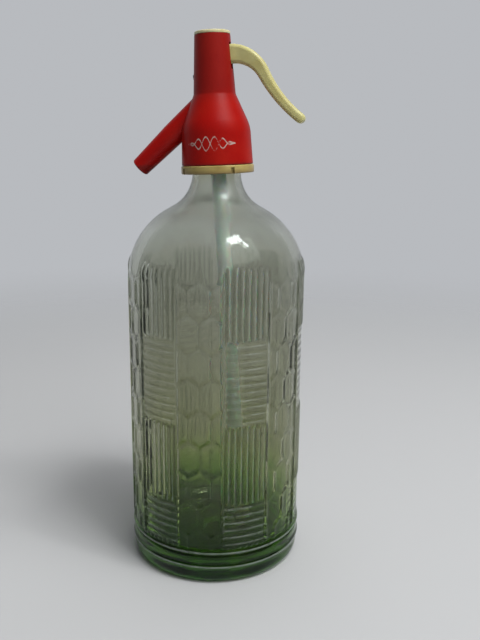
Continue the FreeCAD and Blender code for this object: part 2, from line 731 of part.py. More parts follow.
def make_valve_body():
    """The core: threaded skirt, nozzle and chamber, gland bore, piston guide and socket for the spout."""
    outline = [
        ("at.skirt_bore", "dim.body_low"),
        ("at.body_skirt_radius", "dim.body_low"),
        ("at.body_skirt_radius", "dim.body_skirt_top"),
        ("dim.body_web_radius", "dim.body_web_top"),
        ("dim.body_neck_radius", "dim.body_neck_foot"),
        ("dim.body_neck_radius", "dim.body_neck_top"),
        ("at.body_tube_radius", "dim.body_tube_foot"),
        ("at.body_tube_radius", "dim.body_top"),
        ("dim.guide_bore", "dim.body_top"),
        ("dim.guide_bore", "dim.chamber_top"),
        ("dim.chamber_radius", "dim.chamber_top"),
        ("dim.chamber_radius", "dim.chamber_floor"),
        ("dim.nozzle_bore + dim.nozzle_wall", "dim.chamber_floor"),
        ("dim.nozzle_bore + dim.nozzle_wall", "at.nozzle_top"),
        ("dim.nozzle_bore", "at.nozzle_top"),
        ("dim.nozzle_bore", "dim.holder_bore_top"),
        ("dim.holder_bore", "dim.holder_bore_top"),
        ("dim.holder_bore", "dim.seat_level"),
        ("at.skirt_bore", "dim.seat_level"),
    ]
    outline += thread("at.skirt_bore", "at.skirt_groove", "dim.thread_start", -1)
    body = turned("valve_body", outline, "head")
    socket = spout_sketch(body, "spout_socket")
    draw(socket, box_outline("at.spout_taper", "at.spigot_run", "0", "dim.spigot_radius + dim.spout_play"))
    revolve(body, "Groove", socket, LYING)
    sleeve = new_sketch(body, "sleeve", XZ)
    low, high = "dim.chamber_floor", "dim.chamber_top"
    draw(sleeve, box_outline("dim.chamber_radius", "at.sleeve_radius", low, high))
    revolve(body, "Revolution", sleeve)
    side = spout_sketch(body, "side_bore")
    draw(side, box_outline("at.spout_taper", "at.spout_run", "0", "dim.port_radius"))
    revolve(body, "Groove", side, LYING)
    cut_lever_slot(body)
    cut_grub_hole(body)
    pin_hole = new_sketch(body, "pin_hole", XZ)
    draw_circle(pin_hole, "dim.pin_reach", "dim.pin_level", "dim.pin_radius + dim.pin_fit")
    extrude(body, "Pocket", pin_hole, both=True)
    return body


def make_spout_tube():
    """The spout: a tapered tube cut to the core's round side, with a spigot into the core."""
    body = sub_part("spout_tube", "head")
    blank = spout_sketch(body, "blank")
    draw(blank, [
        ("0", "0"),
        ("at.spout_run", "0"),
        ("at.spout_run", "dim.spout_root_radius"),
        ("at.spout_taper", "dim.spout_root_radius"),
        ("dim.spout_edge", "dim.spout_tip_radius"),
        ("0", "dim.spout_tip_radius - dim.spout_edge"),
    ])
    revolve(body, "Revolution", blank, LYING)
    cut_round(body, "saddle", "dim.body_neck_radius + dim.spout_play")
    spigot = spout_sketch(body, "spigot")
    draw(spigot, box_outline("at.spigot_start", "at.spigot_run", "0", "dim.spigot_radius"))
    revolve(body, "Revolution", spigot, LYING)
    cut_round(body, "spigot_face", "at.spigot_end")
    bore = spout_sketch(body, "bore")
    draw(bore, box_outline("-dim.spout_edge", "at.spout_run", "0", "dim.spout_bore"))
    revolve(body, "Groove", bore, LYING)
    return body


def make_spout_seal():
    """The washer between the spigot's hollowed end and the sleeve, hollowed to the same round."""
    body = sub_part("spout_seal", "head")
    blank = spout_sketch(body, "blank")
    draw(blank, box_outline("at.spigot_start", "at.spigot_run", "dim.port_radius", "dim.spigot_radius"))
    revolve(body, "Revolution", blank, LYING)
    cut_round(body, "inner_face", "at.seal_inner")
    outside = new_sketch(body, "outer_face", XY)
    draw_circle(outside, "0", "0", "at.seal_outer")
    draw_circle(outside, "0", "0", "dim.spout_reach")
    extrude(body, "Pocket", outside, both=True)
    return body


# ---------------------------------------------------------------- dip tube
def make_tube_holder():
    """The threaded holder that carries the dip tube in its grommet."""
    flange_top = "dim.holder_low + dim.holder_flange_height"
    return turned("tube_holder", [
        ("dim.holder_lip", "dim.holder_low"),
        ("dim.holder_flange", "dim.holder_low"),
        ("dim.holder_flange", flange_top),
        ("dim.holder_bore - dim.holder_play", flange_top),
        ("dim.holder_bore - dim.holder_play", "dim.holder_top"),
        ("dim.grommet_radius + dim.holder_play", "dim.holder_top"),
        ("dim.grommet_radius + dim.holder_play", "dim.holder_low + dim.holder_lip_height"),
        ("dim.holder_lip", "dim.holder_low + dim.holder_lip_height"),
    ], "head")


def make_tube_grommet():
    """The rubber grommet round the dip tube."""
    low = "dim.holder_low + dim.holder_lip_height + dim.valve_gap"
    inner = "dim.tube_radius + dim.grommet_play"
    return turned("tube_grommet", box_outline(inner, "dim.grommet_radius", low, "dim.holder_top"), "head")


def make_dip_tube():
    """The dip tube, bevelled at its low end."""
    inner, high = "dim.tube_radius - dim.tube_wall", "dim.tube_top - at.tube_pivot"
    tube = turned("dip_tube", box_outline(inner, "dim.tube_radius", "-at.tube_length", high), "tube")
    bevel = new_sketch(tube, "bevel", XZ)
    draw(bevel, [
        ("-dim.tube_radius", "-at.tube_length"),
        ("dim.tube_radius + dim.spout_edge", "-at.tube_length"),
        ("dim.tube_radius + dim.spout_edge", "-at.tube_length + at.bevel_rise"),
    ])
    extrude(tube, "Pocket", bevel, both=True)
    return tube


# ---------------------------------------------------------------- valve
def make_gland_packing():
    """The soft packing round the stem."""
    inner, outer = "dim.stem_radius + dim.stem_play", "dim.guide_bore - dim.gland_play"
    low = "dim.chamber_top"
    return turned("gland_packing", box_outline(inner, outer, low, "at.packing_top"), "head")


def make_gland_nut():
    """The nut that squeezes the packing, slotted across its top."""
    inner, outer = "dim.stem_radius + dim.gland_bore_play", "dim.guide_bore - dim.gland_play"
    nut = turned("gland_nut", box_outline(inner, outer, "at.gland_low", "at.gland_top"), "head")
    slot = new_sketch(nut, "slot", XY, ("0", "0", "at.gland_top"))
    half = "dim.gland_slot_width / 2"
    draw(slot, box_outline("-dim.guide_bore", "dim.guide_bore", "-" + half, half))
    extrude(nut, "Pocket", slot, "dim.gland_slot_depth")
    return nut


def make_valve_piston():
    """The piston with its stem: flattened beside the lever's pin and slotted for the lever's nose."""
    piston = turned("valve_piston", [
        ("0", "at.disc_high + dim.screw_length"),
        ("dim.screw_radius + dim.pin_fit", "at.disc_high + dim.screw_length"),
        ("dim.screw_radius + dim.pin_fit", "at.disc_high"),
        ("dim.disc_flange_radius", "at.disc_high"),
        ("dim.disc_flange_radius", "at.stem_low"),
        ("dim.stem_radius", "at.stem_low"),
        ("dim.stem_radius", "dim.piston_low"),
        ("dim.piston_radius", "dim.piston_low"),
        ("dim.piston_radius", "dim.piston_high"),
        ("0", "dim.piston_high"),
    ], "head")
    flat = new_sketch(piston, "flat", XZ)
    beyond = "dim.piston_radius + dim.slot_play"
    draw(flat, box_outline("at.piston_flat", beyond, "dim.piston_low - dim.slot_play",
                           "dim.piston_high + dim.slot_play"))
    extrude(piston, "Pocket", flat, both=True)
    slots = new_sketch(piston, "nose_slot", XZ)
    draw(slots, [
        ("-dim.nose_slot_reach", "at.nose_level - at.nose_slot_half"),
        ("dim.hub_cut_start", "at.nose_level - at.nose_slot_half"),
        ("dim.hub_cut_start", "dim.hub_cut_low"),
        (beyond, "dim.hub_cut_low"),
        (beyond, "dim.piston_high + dim.slot_play"),
        ("dim.hub_cut_start", "dim.piston_high + dim.slot_play"),
        ("dim.hub_cut_start", "at.nose_level + at.nose_slot_half"),
        ("-dim.nose_slot_reach", "at.nose_level + at.nose_slot_half"),
    ])
    extrude(piston, "Pocket", slots, "2 * at.slot_half", both=True)
    return piston


def make_valve_disc():
    """The rubber disc that shuts the nozzle."""
    inner, low, high = "dim.screw_radius + dim.pin_fit", "at.disc_low", "at.disc_high"
    return turned("valve_disc", box_outline(inner, "dim.disc_radius", low, high), "head")


def make_disc_screw():
    """The screw that holds the disc to the stem, its head inside the nozzle."""
    head_top = "at.disc_low - dim.screw_gap"
    return turned("disc_screw", [
        ("0", head_top + " - dim.screw_head_height"),
        ("dim.screw_head_radius", head_top + " - dim.screw_head_height"),
        ("dim.screw_head_radius", head_top),
        ("dim.screw_radius", head_top),
        ("dim.screw_radius", "at.disc_high + dim.screw_length - dim.screw_gap"),
        ("0", "at.disc_high + dim.screw_length - dim.screw_gap"),
    ], "head")


def make_spring_cup():
    """The seat of the spring on the piston, with a boss that centres the coil."""
    cup = turned("spring_cup", [
        ("0", "dim.piston_high"),
        ("dim.cup_radius", "dim.piston_high"),
        ("dim.cup_radius", "at.spring_low"),
        ("dim.cup_boss_radius", "at.spring_low"),
        ("dim.cup_boss_radius", "at.spring_low + dim.cup_boss_height"),
        ("0", "at.spring_low + dim.cup_boss_height"),
    ], "head")
    return cup


def make_return_spring():
    """The coil spring between the cup and the cap."""
    spring = sub_part("return_spring", "head")
    wire = new_sketch(spring, "wire", XZ)
    low = "at.spring_low + dim.spring_wire / 2 + dim.valve_gap"
    draw_circle(wire, "dim.spring_radius", low, "dim.spring_wire / 2")
    doc.recompute()
    coil = spring.newObject("PartDesign::AdditiveHelix", "coil")
    coil.Profile = wire
    coil.ReferenceAxis = (wire, [UPRIGHT])
    coil.Mode = "pitch-height-angle"
    coil.setExpression("Pitch", "dim.spring_pitch")
    coil.setExpression("Height", "at.spring_height")
    doc.recompute()
    return spring


# ---------------------------------------------------------------- lever and cap
def on_tip(turn):
    """A point on the round of the lever's tip."""
    x = "dim.lever_tip_reach + dim.lever_tip_round * cos(%s)" % turn
    z = "dim.lever_tip_level + dim.lever_tip_round * sin(%s)" % turn
    return x, z


def long_edges(body, reach):
    """Names of the edges that run along the body's two sides beyond a reach."""
    names = []
    for index, edge in enumerate(body.Tip.Shape.Edges, start=1):
        ends = [vertex.Point for vertex in edge.Vertexes]
        middle = edge.valueAt((edge.FirstParameter + edge.LastParameter) / 2)
        along = max(ends, key=lambda point: point.x).x - min(ends, key=lambda point: point.x).x
        on_one_side = all(point.y * middle.y > 1 for point in ends)
        if on_one_side and middle.x > reach and (along > 0.01 or abs(middle.x - ends[0].x) > 0.01):
            names.append("Edge%d" % index)
    return names


def make_lever():
    """The lever: a nose in the piston's slot, a hub on the pin and an S-shaped arm widening to its tip."""
    lever = sub_part("lever", "head")
    side = new_sketch(lever, "side", XZ)
    draw(side, [
        ("at.nose_foot_x - at.arm_x", "at.nose_foot_z + at.arm_z", Arc("dim.nose_radius", LEFT, True)),
        ("at.nose_foot_x + at.arm_x", "at.nose_foot_z - at.arm_z"),
        ("dim.hub_low_reach", "dim.hub_low_level"),
        ("dim.lever_root_reach", "dim.lever_root_low", Arc("dim.belly_bend_radius", RIGHT)),
        ("dim.belly_bend_reach", "dim.belly_bend_level", Arc("dim.belly_sweep", LEFT)),
        (*on_tip("dim.belly_tip_angle"), Arc("dim.lever_tip_round", LEFT)),
        (*on_tip("at.tip_turn"), Arc("dim.lever_tip_round", LEFT)),
        (*on_tip("dim.back_tip_angle"), Arc("dim.back_sweep", RIGHT)),
        ("dim.back_bend_reach", "dim.back_bend_level", Arc("dim.back_bend_radius", LEFT)),
        ("dim.lever_root_reach", "dim.lever_root_top"),
        ("dim.hub_top_reach", "dim.hub_top_level"),
    ])
    extrude(lever, "Pad", side, "dim.lever_width", both=True)
    for name, sign, outwards, back in (("front_flare", "-", RIGHT, LEFT), ("rear_flare", "", LEFT, RIGHT)):
        flare = new_sketch(lever, name, XY)
        flare_end = "dim.flare_start + dim.flare_run"
        draw(flare, [
            ("-dim.flare_start", sign + "(dim.root_width / 2)"),
            ("dim.flare_start", sign + "(dim.root_width / 2)", Arc("dim.flare_round", outwards)),
            ("at.flare_turn_reach", sign + "at.flare_turn_width", Arc("at.flare_sweep", back)),
            (flare_end, sign + "(dim.lever_width / 2)"),
            (flare_end, sign + "dim.lever_width"),
            ("-dim.flare_start", sign + "dim.lever_width"),
        ])
        extrude(lever, "Pocket", flare, both=True)
    hole = new_sketch(lever, "pin_hole", XZ)
    draw_circle(hole, "dim.pin_reach", "dim.pin_level", "dim.pin_radius + dim.pin_play")
    extrude(lever, "Pocket", hole, both=True)
    blend(lever, long_edges(lever, number("dim.lever_root_reach")), "dim.lever_edge")
    return lever


def make_lever_pin():
    """The steel pin across the core."""
    pin = sub_part("lever_pin", "head")
    sketch = draw_circle(new_sketch(pin, "section", XZ), "dim.pin_reach", "dim.pin_level", "dim.pin_radius")
    extrude(pin, "Pad", sketch, "2 * dim.pin_half_length", both=True)
    return pin


def make_top_cap():
    """The cap: a low domed disc, a plug with the spring's pocket and two holes for a pin spanner."""
    plug = "dim.guide_bore - dim.plug_play"
    outline = [
        ("0", "dim.pocket_top"),
        ("dim.pocket_radius", "dim.pocket_top"),
        ("dim.pocket_radius", "dim.plug_low"),
        (plug, "dim.plug_low"),
        (plug, "at.cap_low"),
        ("dim.cap_radius", "at.cap_low"),
        ("dim.cap_radius", "at.cap_top - dim.cap_dome - dim.cap_round", Arc("dim.cap_round", LEFT)),
        ("dim.cap_radius - dim.cap_round", "at.cap_top - dim.cap_dome"),
        ("0", "at.cap_top"),
    ]
    cap = turned("top_cap", outline, "head")
    holes = new_sketch(cap, "spanner_holes", XY, ("0", "0", "at.cap_top"))
    for side in ("", "-"):
        draw_circle(holes, "0", side + "dim.cap_hole_reach", "dim.cap_hole_radius")
    extrude(cap, "Pocket", holes, "dim.cap_hole_depth + dim.cap_dome")
    return cap


def make_cap_washer():
    """The washer between the core's top and the cap."""
    low, high = "dim.body_top + dim.washer_gap", "at.cap_low - dim.washer_gap"
    return turned("cap_washer", box_outline("dim.washer_bore", "dim.washer_radius", low, high), "head")


def make_shell_screw():
    """The slotted grub screw that holds the shell to the core."""
    screw = sub_part("shell_screw", "head")
    section = new_sketch(screw, "section", YZ, ("0", "0", "-dim.grub_inner"))
    draw_circle(section, "0", "dim.grub_level", "dim.grub_radius")
    extrude(screw, "Pad", section, "dim.grub_outer - dim.grub_inner", reverse=True)
    slot = new_sketch(screw, "slot", YZ, ("0", "0", "-dim.grub_outer"))
    half, reach = "dim.grub_slot_width / 2", "dim.grub_radius * 2"
    draw(slot, box_outline("-" + half, half, "dim.grub_level - " + reach, "dim.grub_level + " + reach))
    extrude(screw, "Pocket", slot, "dim.grub_slot_depth", reverse=True)
    return screw


SUB_PARTS = [
    make_bottle(),
    make_collar_half("collar_half_lever_side", "0"),
    make_collar_half("collar_half_spout_side", "180"),
    make_clamp_ring(),
    make_neck_gasket(),
    make_head_shell(),
    make_valve_body(),
    make_spout_tube(),
    make_spout_seal(),
    make_tube_holder(),
    make_tube_grommet(),
    make_dip_tube(),
    make_gland_packing(),
    make_gland_nut(),
    make_valve_piston(),
    make_valve_disc(),
    make_disc_screw(),
    make_spring_cup(),
    make_return_spring(),
    make_lever(),
    make_lever_pin(),
    make_top_cap(),
    make_cap_washer(),
    make_shell_screw(),
]


def check_and_export(sub_parts):
    """See that every object and shape is sound, then write each sub-part's solid."""
    doc.recompute()
    for item in doc.Objects:
        if "Invalid" in item.State or "Error" in item.State:
            raise RuntimeError("%s is %s" % (item.Label, item.State))
    for part in sub_parts:
        shape = part.Shape
        if shape.isNull() or not shape.isValid() or not shape.Solids:
            raise RuntimeError(part.Label + " has no sound solid")
    os.makedirs("parts", exist_ok=True)
    for part in sub_parts:
        part.Shape.exportStep("parts/%s.step" % part.Label)
        box = part.Shape.BoundBox
        print("%-24s %9.1f mm3, x %6.1f..%6.1f, y %6.1f..%6.1f, z %6.1f..%6.1f" % (
            part.Label, part.Shape.Volume, box.XMin, box.XMax, box.YMin, box.YMax, box.ZMin, box.ZMax))


check_and_export(SUB_PARTS)
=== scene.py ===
"""Visual model of a soda siphon: a pressed glass bottle under a red lever head."""
from __future__ import annotations

import logging
import math
from dataclasses import dataclass
from enum import Enum
from typing import Sequence

import bmesh
import bpy
from mathutils import Matrix, Vector

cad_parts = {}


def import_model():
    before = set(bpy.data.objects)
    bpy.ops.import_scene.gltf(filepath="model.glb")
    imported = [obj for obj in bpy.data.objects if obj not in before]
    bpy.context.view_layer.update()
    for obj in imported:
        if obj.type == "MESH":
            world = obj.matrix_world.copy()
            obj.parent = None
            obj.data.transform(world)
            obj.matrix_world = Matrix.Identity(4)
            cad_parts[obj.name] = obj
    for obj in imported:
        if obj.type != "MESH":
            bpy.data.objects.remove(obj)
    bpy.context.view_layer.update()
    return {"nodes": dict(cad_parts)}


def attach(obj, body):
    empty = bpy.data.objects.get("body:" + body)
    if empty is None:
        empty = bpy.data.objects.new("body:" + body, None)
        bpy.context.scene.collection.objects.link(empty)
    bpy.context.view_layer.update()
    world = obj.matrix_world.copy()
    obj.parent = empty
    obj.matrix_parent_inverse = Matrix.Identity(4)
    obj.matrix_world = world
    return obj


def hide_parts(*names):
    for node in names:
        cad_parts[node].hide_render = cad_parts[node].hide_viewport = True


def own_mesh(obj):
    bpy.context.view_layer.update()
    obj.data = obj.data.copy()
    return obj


LOG = logging.getLogger("siphon")
MM = 0.001

Colour = tuple[float, float, float, float]
Point = tuple[float, float]
Span = tuple[float, float]
Profile = list[Point]
Nodes = dict[str, bpy.types.Object]

WHITE: Colour = (1.0, 1.0, 1.0, 1.0)
# The attribute that tells where the pressed pattern darkens the glass, near 0, from where it leaves it light,
# 1: darker in hollows and on honeycomb lines, lighter on crests.
RELIEF = "relief"
# The head's own frame: where it is clamped to the neck, and its lean towards the spout.
HEAD_ORIGIN = Vector((0.5, 0.0, 221.5017)) * MM
HEAD_LEAN = math.radians(2.6)
# Corners of a CAD mesh that are nearer than this, in metres, are one.
WELD = 2e-6


# ---------------------------------------------------------------- nodes
class Socket:
    """An output of a node that takes part in Python arithmetic."""

    def __init__(self, graph: Graph, plug: bpy.types.NodeSocket) -> None:
        """Keeps the plug and the graph that new Math nodes go to."""
        self.graph = graph
        self.plug = plug

    def __add__(self, other: Value) -> Socket:
        """The sum."""
        return self.graph.maths("ADD", self, other)

    __radd__ = __add__

    def __sub__(self, other: Value) -> Socket:
        """The difference."""
        return self.graph.maths("SUBTRACT", self, other)

    def __rsub__(self, other: Value) -> Socket:
        """The difference, taken from a number."""
        return self.graph.maths("SUBTRACT", other, self)

    def __mul__(self, other: Value) -> Socket:
        """The product."""
        return self.graph.maths("MULTIPLY", self, other)

    __rmul__ = __mul__

    def __truediv__(self, other: Value) -> Socket:
        """The quotient."""
        return self.graph.maths("DIVIDE", self, other)

    def __rtruediv__(self, other: Value) -> Socket:
        """A number over this value."""
        return self.graph.maths("DIVIDE", other, self)

    def __mod__(self, other: Value) -> Socket:
        """The remainder, never negative."""
        return self.graph.maths("FLOORED_MODULO", self, other)

    def __pow__(self, other: Value) -> Socket:
        """The power."""
        return self.graph.maths("POWER", self, other)

    def __abs__(self) -> Socket:
        """The size without its sign."""
        return self.graph.maths("ABSOLUTE", self)

    def __lt__(self, other: Value) -> Socket:
        """1 where this value is the smaller one, else 0."""
        return self.graph.maths("LESS_THAN", self, other)

    def __gt__(self, other: Value) -> Socket:
        """1 where this value is the larger one, else 0."""
        return self.graph.maths("GREATER_THAN", self, other)


Value = Socket | float | int | tuple | Vector | bpy.types.ID
Values = dict[str, Value]


class Graph:
    """A node tree under construction."""

    def __init__(self, tree: bpy.types.NodeTree) -> None:
        """Keeps the tree that the nodes go to."""
        self.tree = tree

    def node(self, kind: str, settings: dict | None = None, sockets: dict | None = None) -> bpy.types.Node:
        """Adds one node.

        Args:
            kind: the node's type name.
            settings: properties that are set first; "stops" are the colour stops of a ramp.
            sockets: values or links by input name, identifier or number.

        Returns:
            The new node.
        """
        made = self.tree.nodes.new(kind)
        for name, value in (settings or {}).items():
            if name == "stops":
                self._set_stops(made.color_ramp, value)
            else:
                setattr(made, name, value)
        for key, value in (sockets or {}).items():
            plug = self._find(made.inputs, key)
            if isinstance(value, Socket):
                self.tree.links.new(value.plug, plug)
            else:
                plug.default_value = value
        return made

    def read(self, kind: str, output: str | int = 0, settings: dict | None = None,
             sockets: dict | None = None) -> Socket:
        """One output of a new node; settings and sockets are as in node()."""
        return self.out(self.node(kind, settings, sockets), output)

    def out(self, made: bpy.types.Node, key: str | int = 0) -> Socket:
        """One output of a node, wrapped."""
        return Socket(self, self._find(made.outputs, key))

    def maths(self, operation: str, *values: Value) -> Socket:
        """A Math node of that operation on one to three values."""
        return self.read("ShaderNodeMath", 0, {"operation": operation}, dict(enumerate(values)))

    def larger(self, a: Value, b: Value) -> Socket:
        """The larger of two values."""
        return self.maths("MAXIMUM", a, b)

    def smaller(self, a: Value, b: Value) -> Socket:
        """The smaller of two values."""
        return self.maths("MINIMUM", a, b)

    def rise(self, value: Value, start: float, end: float, low: Value = 0.0, high: Value = 1.0) -> Socket:
        """A smooth step from low at start to high at end; start may be the larger one."""
        names = {"Value": value, "From Min": start, "From Max": end, "To Min": low, "To Max": high}
        return self.read("ShaderNodeMapRange", "Result", {"interpolation_type": "SMOOTHSTEP"}, names)

    def mix(self, factor: Value, a: Value, b: Value, way: str = "MIX") -> Socket:
        """Two colours mixed by a factor."""
        sockets = {"Factor_Float": factor, "A_Color": a, "B_Color": b}
        return self.read("ShaderNodeMix", "Result_Color", {"data_type": "RGBA", "blend_type": way}, sockets)

    def noise(self, vector: Value, scale: float, detail: float = 3.0, roughness: float = 0.5) -> Socket:
        """Smooth noise from 0 to 1."""
        sockets = {"Vector": vector, "Scale": scale, "Detail": detail, "Roughness": roughness}
        return self.read("ShaderNodeTexNoise", 0, None, sockets)

    def stretched(self, vector: Value, scale: Sequence[float], turn: Sequence[float] = (0, 0, 0)) -> Socket:
        """Coordinates scaled by axis and turned, for streaks and scratches."""
        return self.read("ShaderNodeMapping", 0, None, {"Vector": vector, "Scale": scale, "Rotation": turn})

    def parts(self, vector: Value) -> tuple[Socket, Socket, Socket]:
        """The x, y and z of a vector."""
        split = self.node("ShaderNodeSeparateXYZ", None, {0: vector})
        return self.out(split, 0), self.out(split, 1), self.out(split, 2)

    def attribute(self, name: str) -> Socket:
        """A number that the mesh holds under that name."""
        return self.read("ShaderNodeAttribute", "Fac", {"attribute_name": name})

    @staticmethod
    def _find(plugs: Sequence[bpy.types.NodeSocket], key: str | int) -> bpy.types.NodeSocket:
        """One of a node's plugs.

        Args:
            plugs: the node's inputs or its outputs.
            key: the plug's number, or its identifier, or else its name.

        Returns:
            The plug.
        """
        if isinstance(key, int):
            return plugs[key]
        for plug in plugs:
            if plug.identifier == key:
                return plug
        return next(plug for plug in plugs if plug.name == key)

    @staticmethod
    def _set_stops(ramp: bpy.types.ColorRamp, stops: Sequence[tuple[float, Colour]]) -> None:
        """Gives a ramp new stops.

        Args:
            ramp: the colour ramp.
            stops: all that it shall have, each a place and a colour.
        """
        while len(ramp.elements) > 1:
            ramp.elements.remove(ramp.elements[-1])
        ramp.elements[0].position, ramp.elements[0].color = stops[0]
        for place, colour in stops[1:]:
            ramp.elements.new(place).color = colour


# ---------------------------------------------------------------- finishes
class Finish:
    """What all finishes share: a material with one surface shader on Object coordinates."""

    name = "finish"

    def material(self) -> bpy.types.Material:
        """The finish as a material.

        Returns:
            The material, made at the first call.
        """
        found = bpy.data.materials.get(self.name)
        if found:
            return found
        made = bpy.data.materials.new(self.name)
        made.use_nodes = True
        made.node_tree.nodes.clear()
        graph = Graph(made.node_tree)
        place = graph.read("ShaderNodeTexCoord", "Object")
        skin = graph.read("ShaderNodeBsdfPrincipled", "BSDF", None, self.surface(graph, place))
        # Wear, and on the glass's crests a painted highlight, mixed in as a second shader.
        worn = self.wear_and_highlight(graph, place)
        if worn:
            share, values = worn
            scuff_and_highlight = graph.read("ShaderNodeBsdfPrincipled", "BSDF", None, values)
            skin = graph.read("ShaderNodeMixShader", 0, None, {0: share, 1: skin, 2: scuff_and_highlight})
        graph.node("ShaderNodeOutputMaterial", None, {"Surface": skin, **self.inside(graph)})
        return made

    def surface(self, graph: Graph, place: Socket) -> Values:
        """The shader's socket values by name, worked out in the graph from the Object coordinates."""
        raise NotImplementedError

    def inside(self, graph: Graph) -> Values:
        """What fills the solid, if anything."""
        return {}

    def wear_and_highlight(self, graph: Graph, place: Socket) -> tuple[Socket, Values] | None:
        """Where the finish is scuffed and pale as a painted highlight, and that shader's socket values, if it
        has such marks.
        """
        return None

    @staticmethod
    def bump(graph: Graph, height: Value, strength: float, distance: float) -> Socket:
        """A Bump node that feeds Normal."""
        sockets = {"Height": height, "Strength": strength, "Distance": distance}
        return graph.read("ShaderNodeBump", "Normal", None, sockets)

    @staticmethod
    def head_place(graph: Graph, place: Socket) -> tuple[Socket, Socket, Socket]:
        """x, y and the height above the clamp, in millimetres in the head's own frame."""
        lie = {"Vector": place, "Location": HEAD_ORIGIN, "Rotation": (0.0, -HEAD_LEAN, 0.0),
               "Scale": (MM, MM, MM)}
        return graph.parts(graph.read("ShaderNodeMapping", 0, {"vector_type": "TEXTURE"}, lie))

    @staticmethod
    def scratches(graph: Graph, place: Socket) -> Socket:
        """Fine lines in two directions.

        Args:
            graph: the material's graph.
            place: the Object coordinates.

        Returns:
            The mask, 0 to 1.
        """
        lines = []
        for turn, scale in (((0.3, 0.5, 0.2), (1.0, 1.0, 0.03)), ((1.1, -0.4, 0.9), (1.0, 0.04, 1.0))):
            spread = graph.stretched(place, scale, turn)
            lines.append(graph.rise(graph.noise(spread, scale=1500.0, detail=1.0), 0.70, 0.74))
        return graph.larger(*lines)


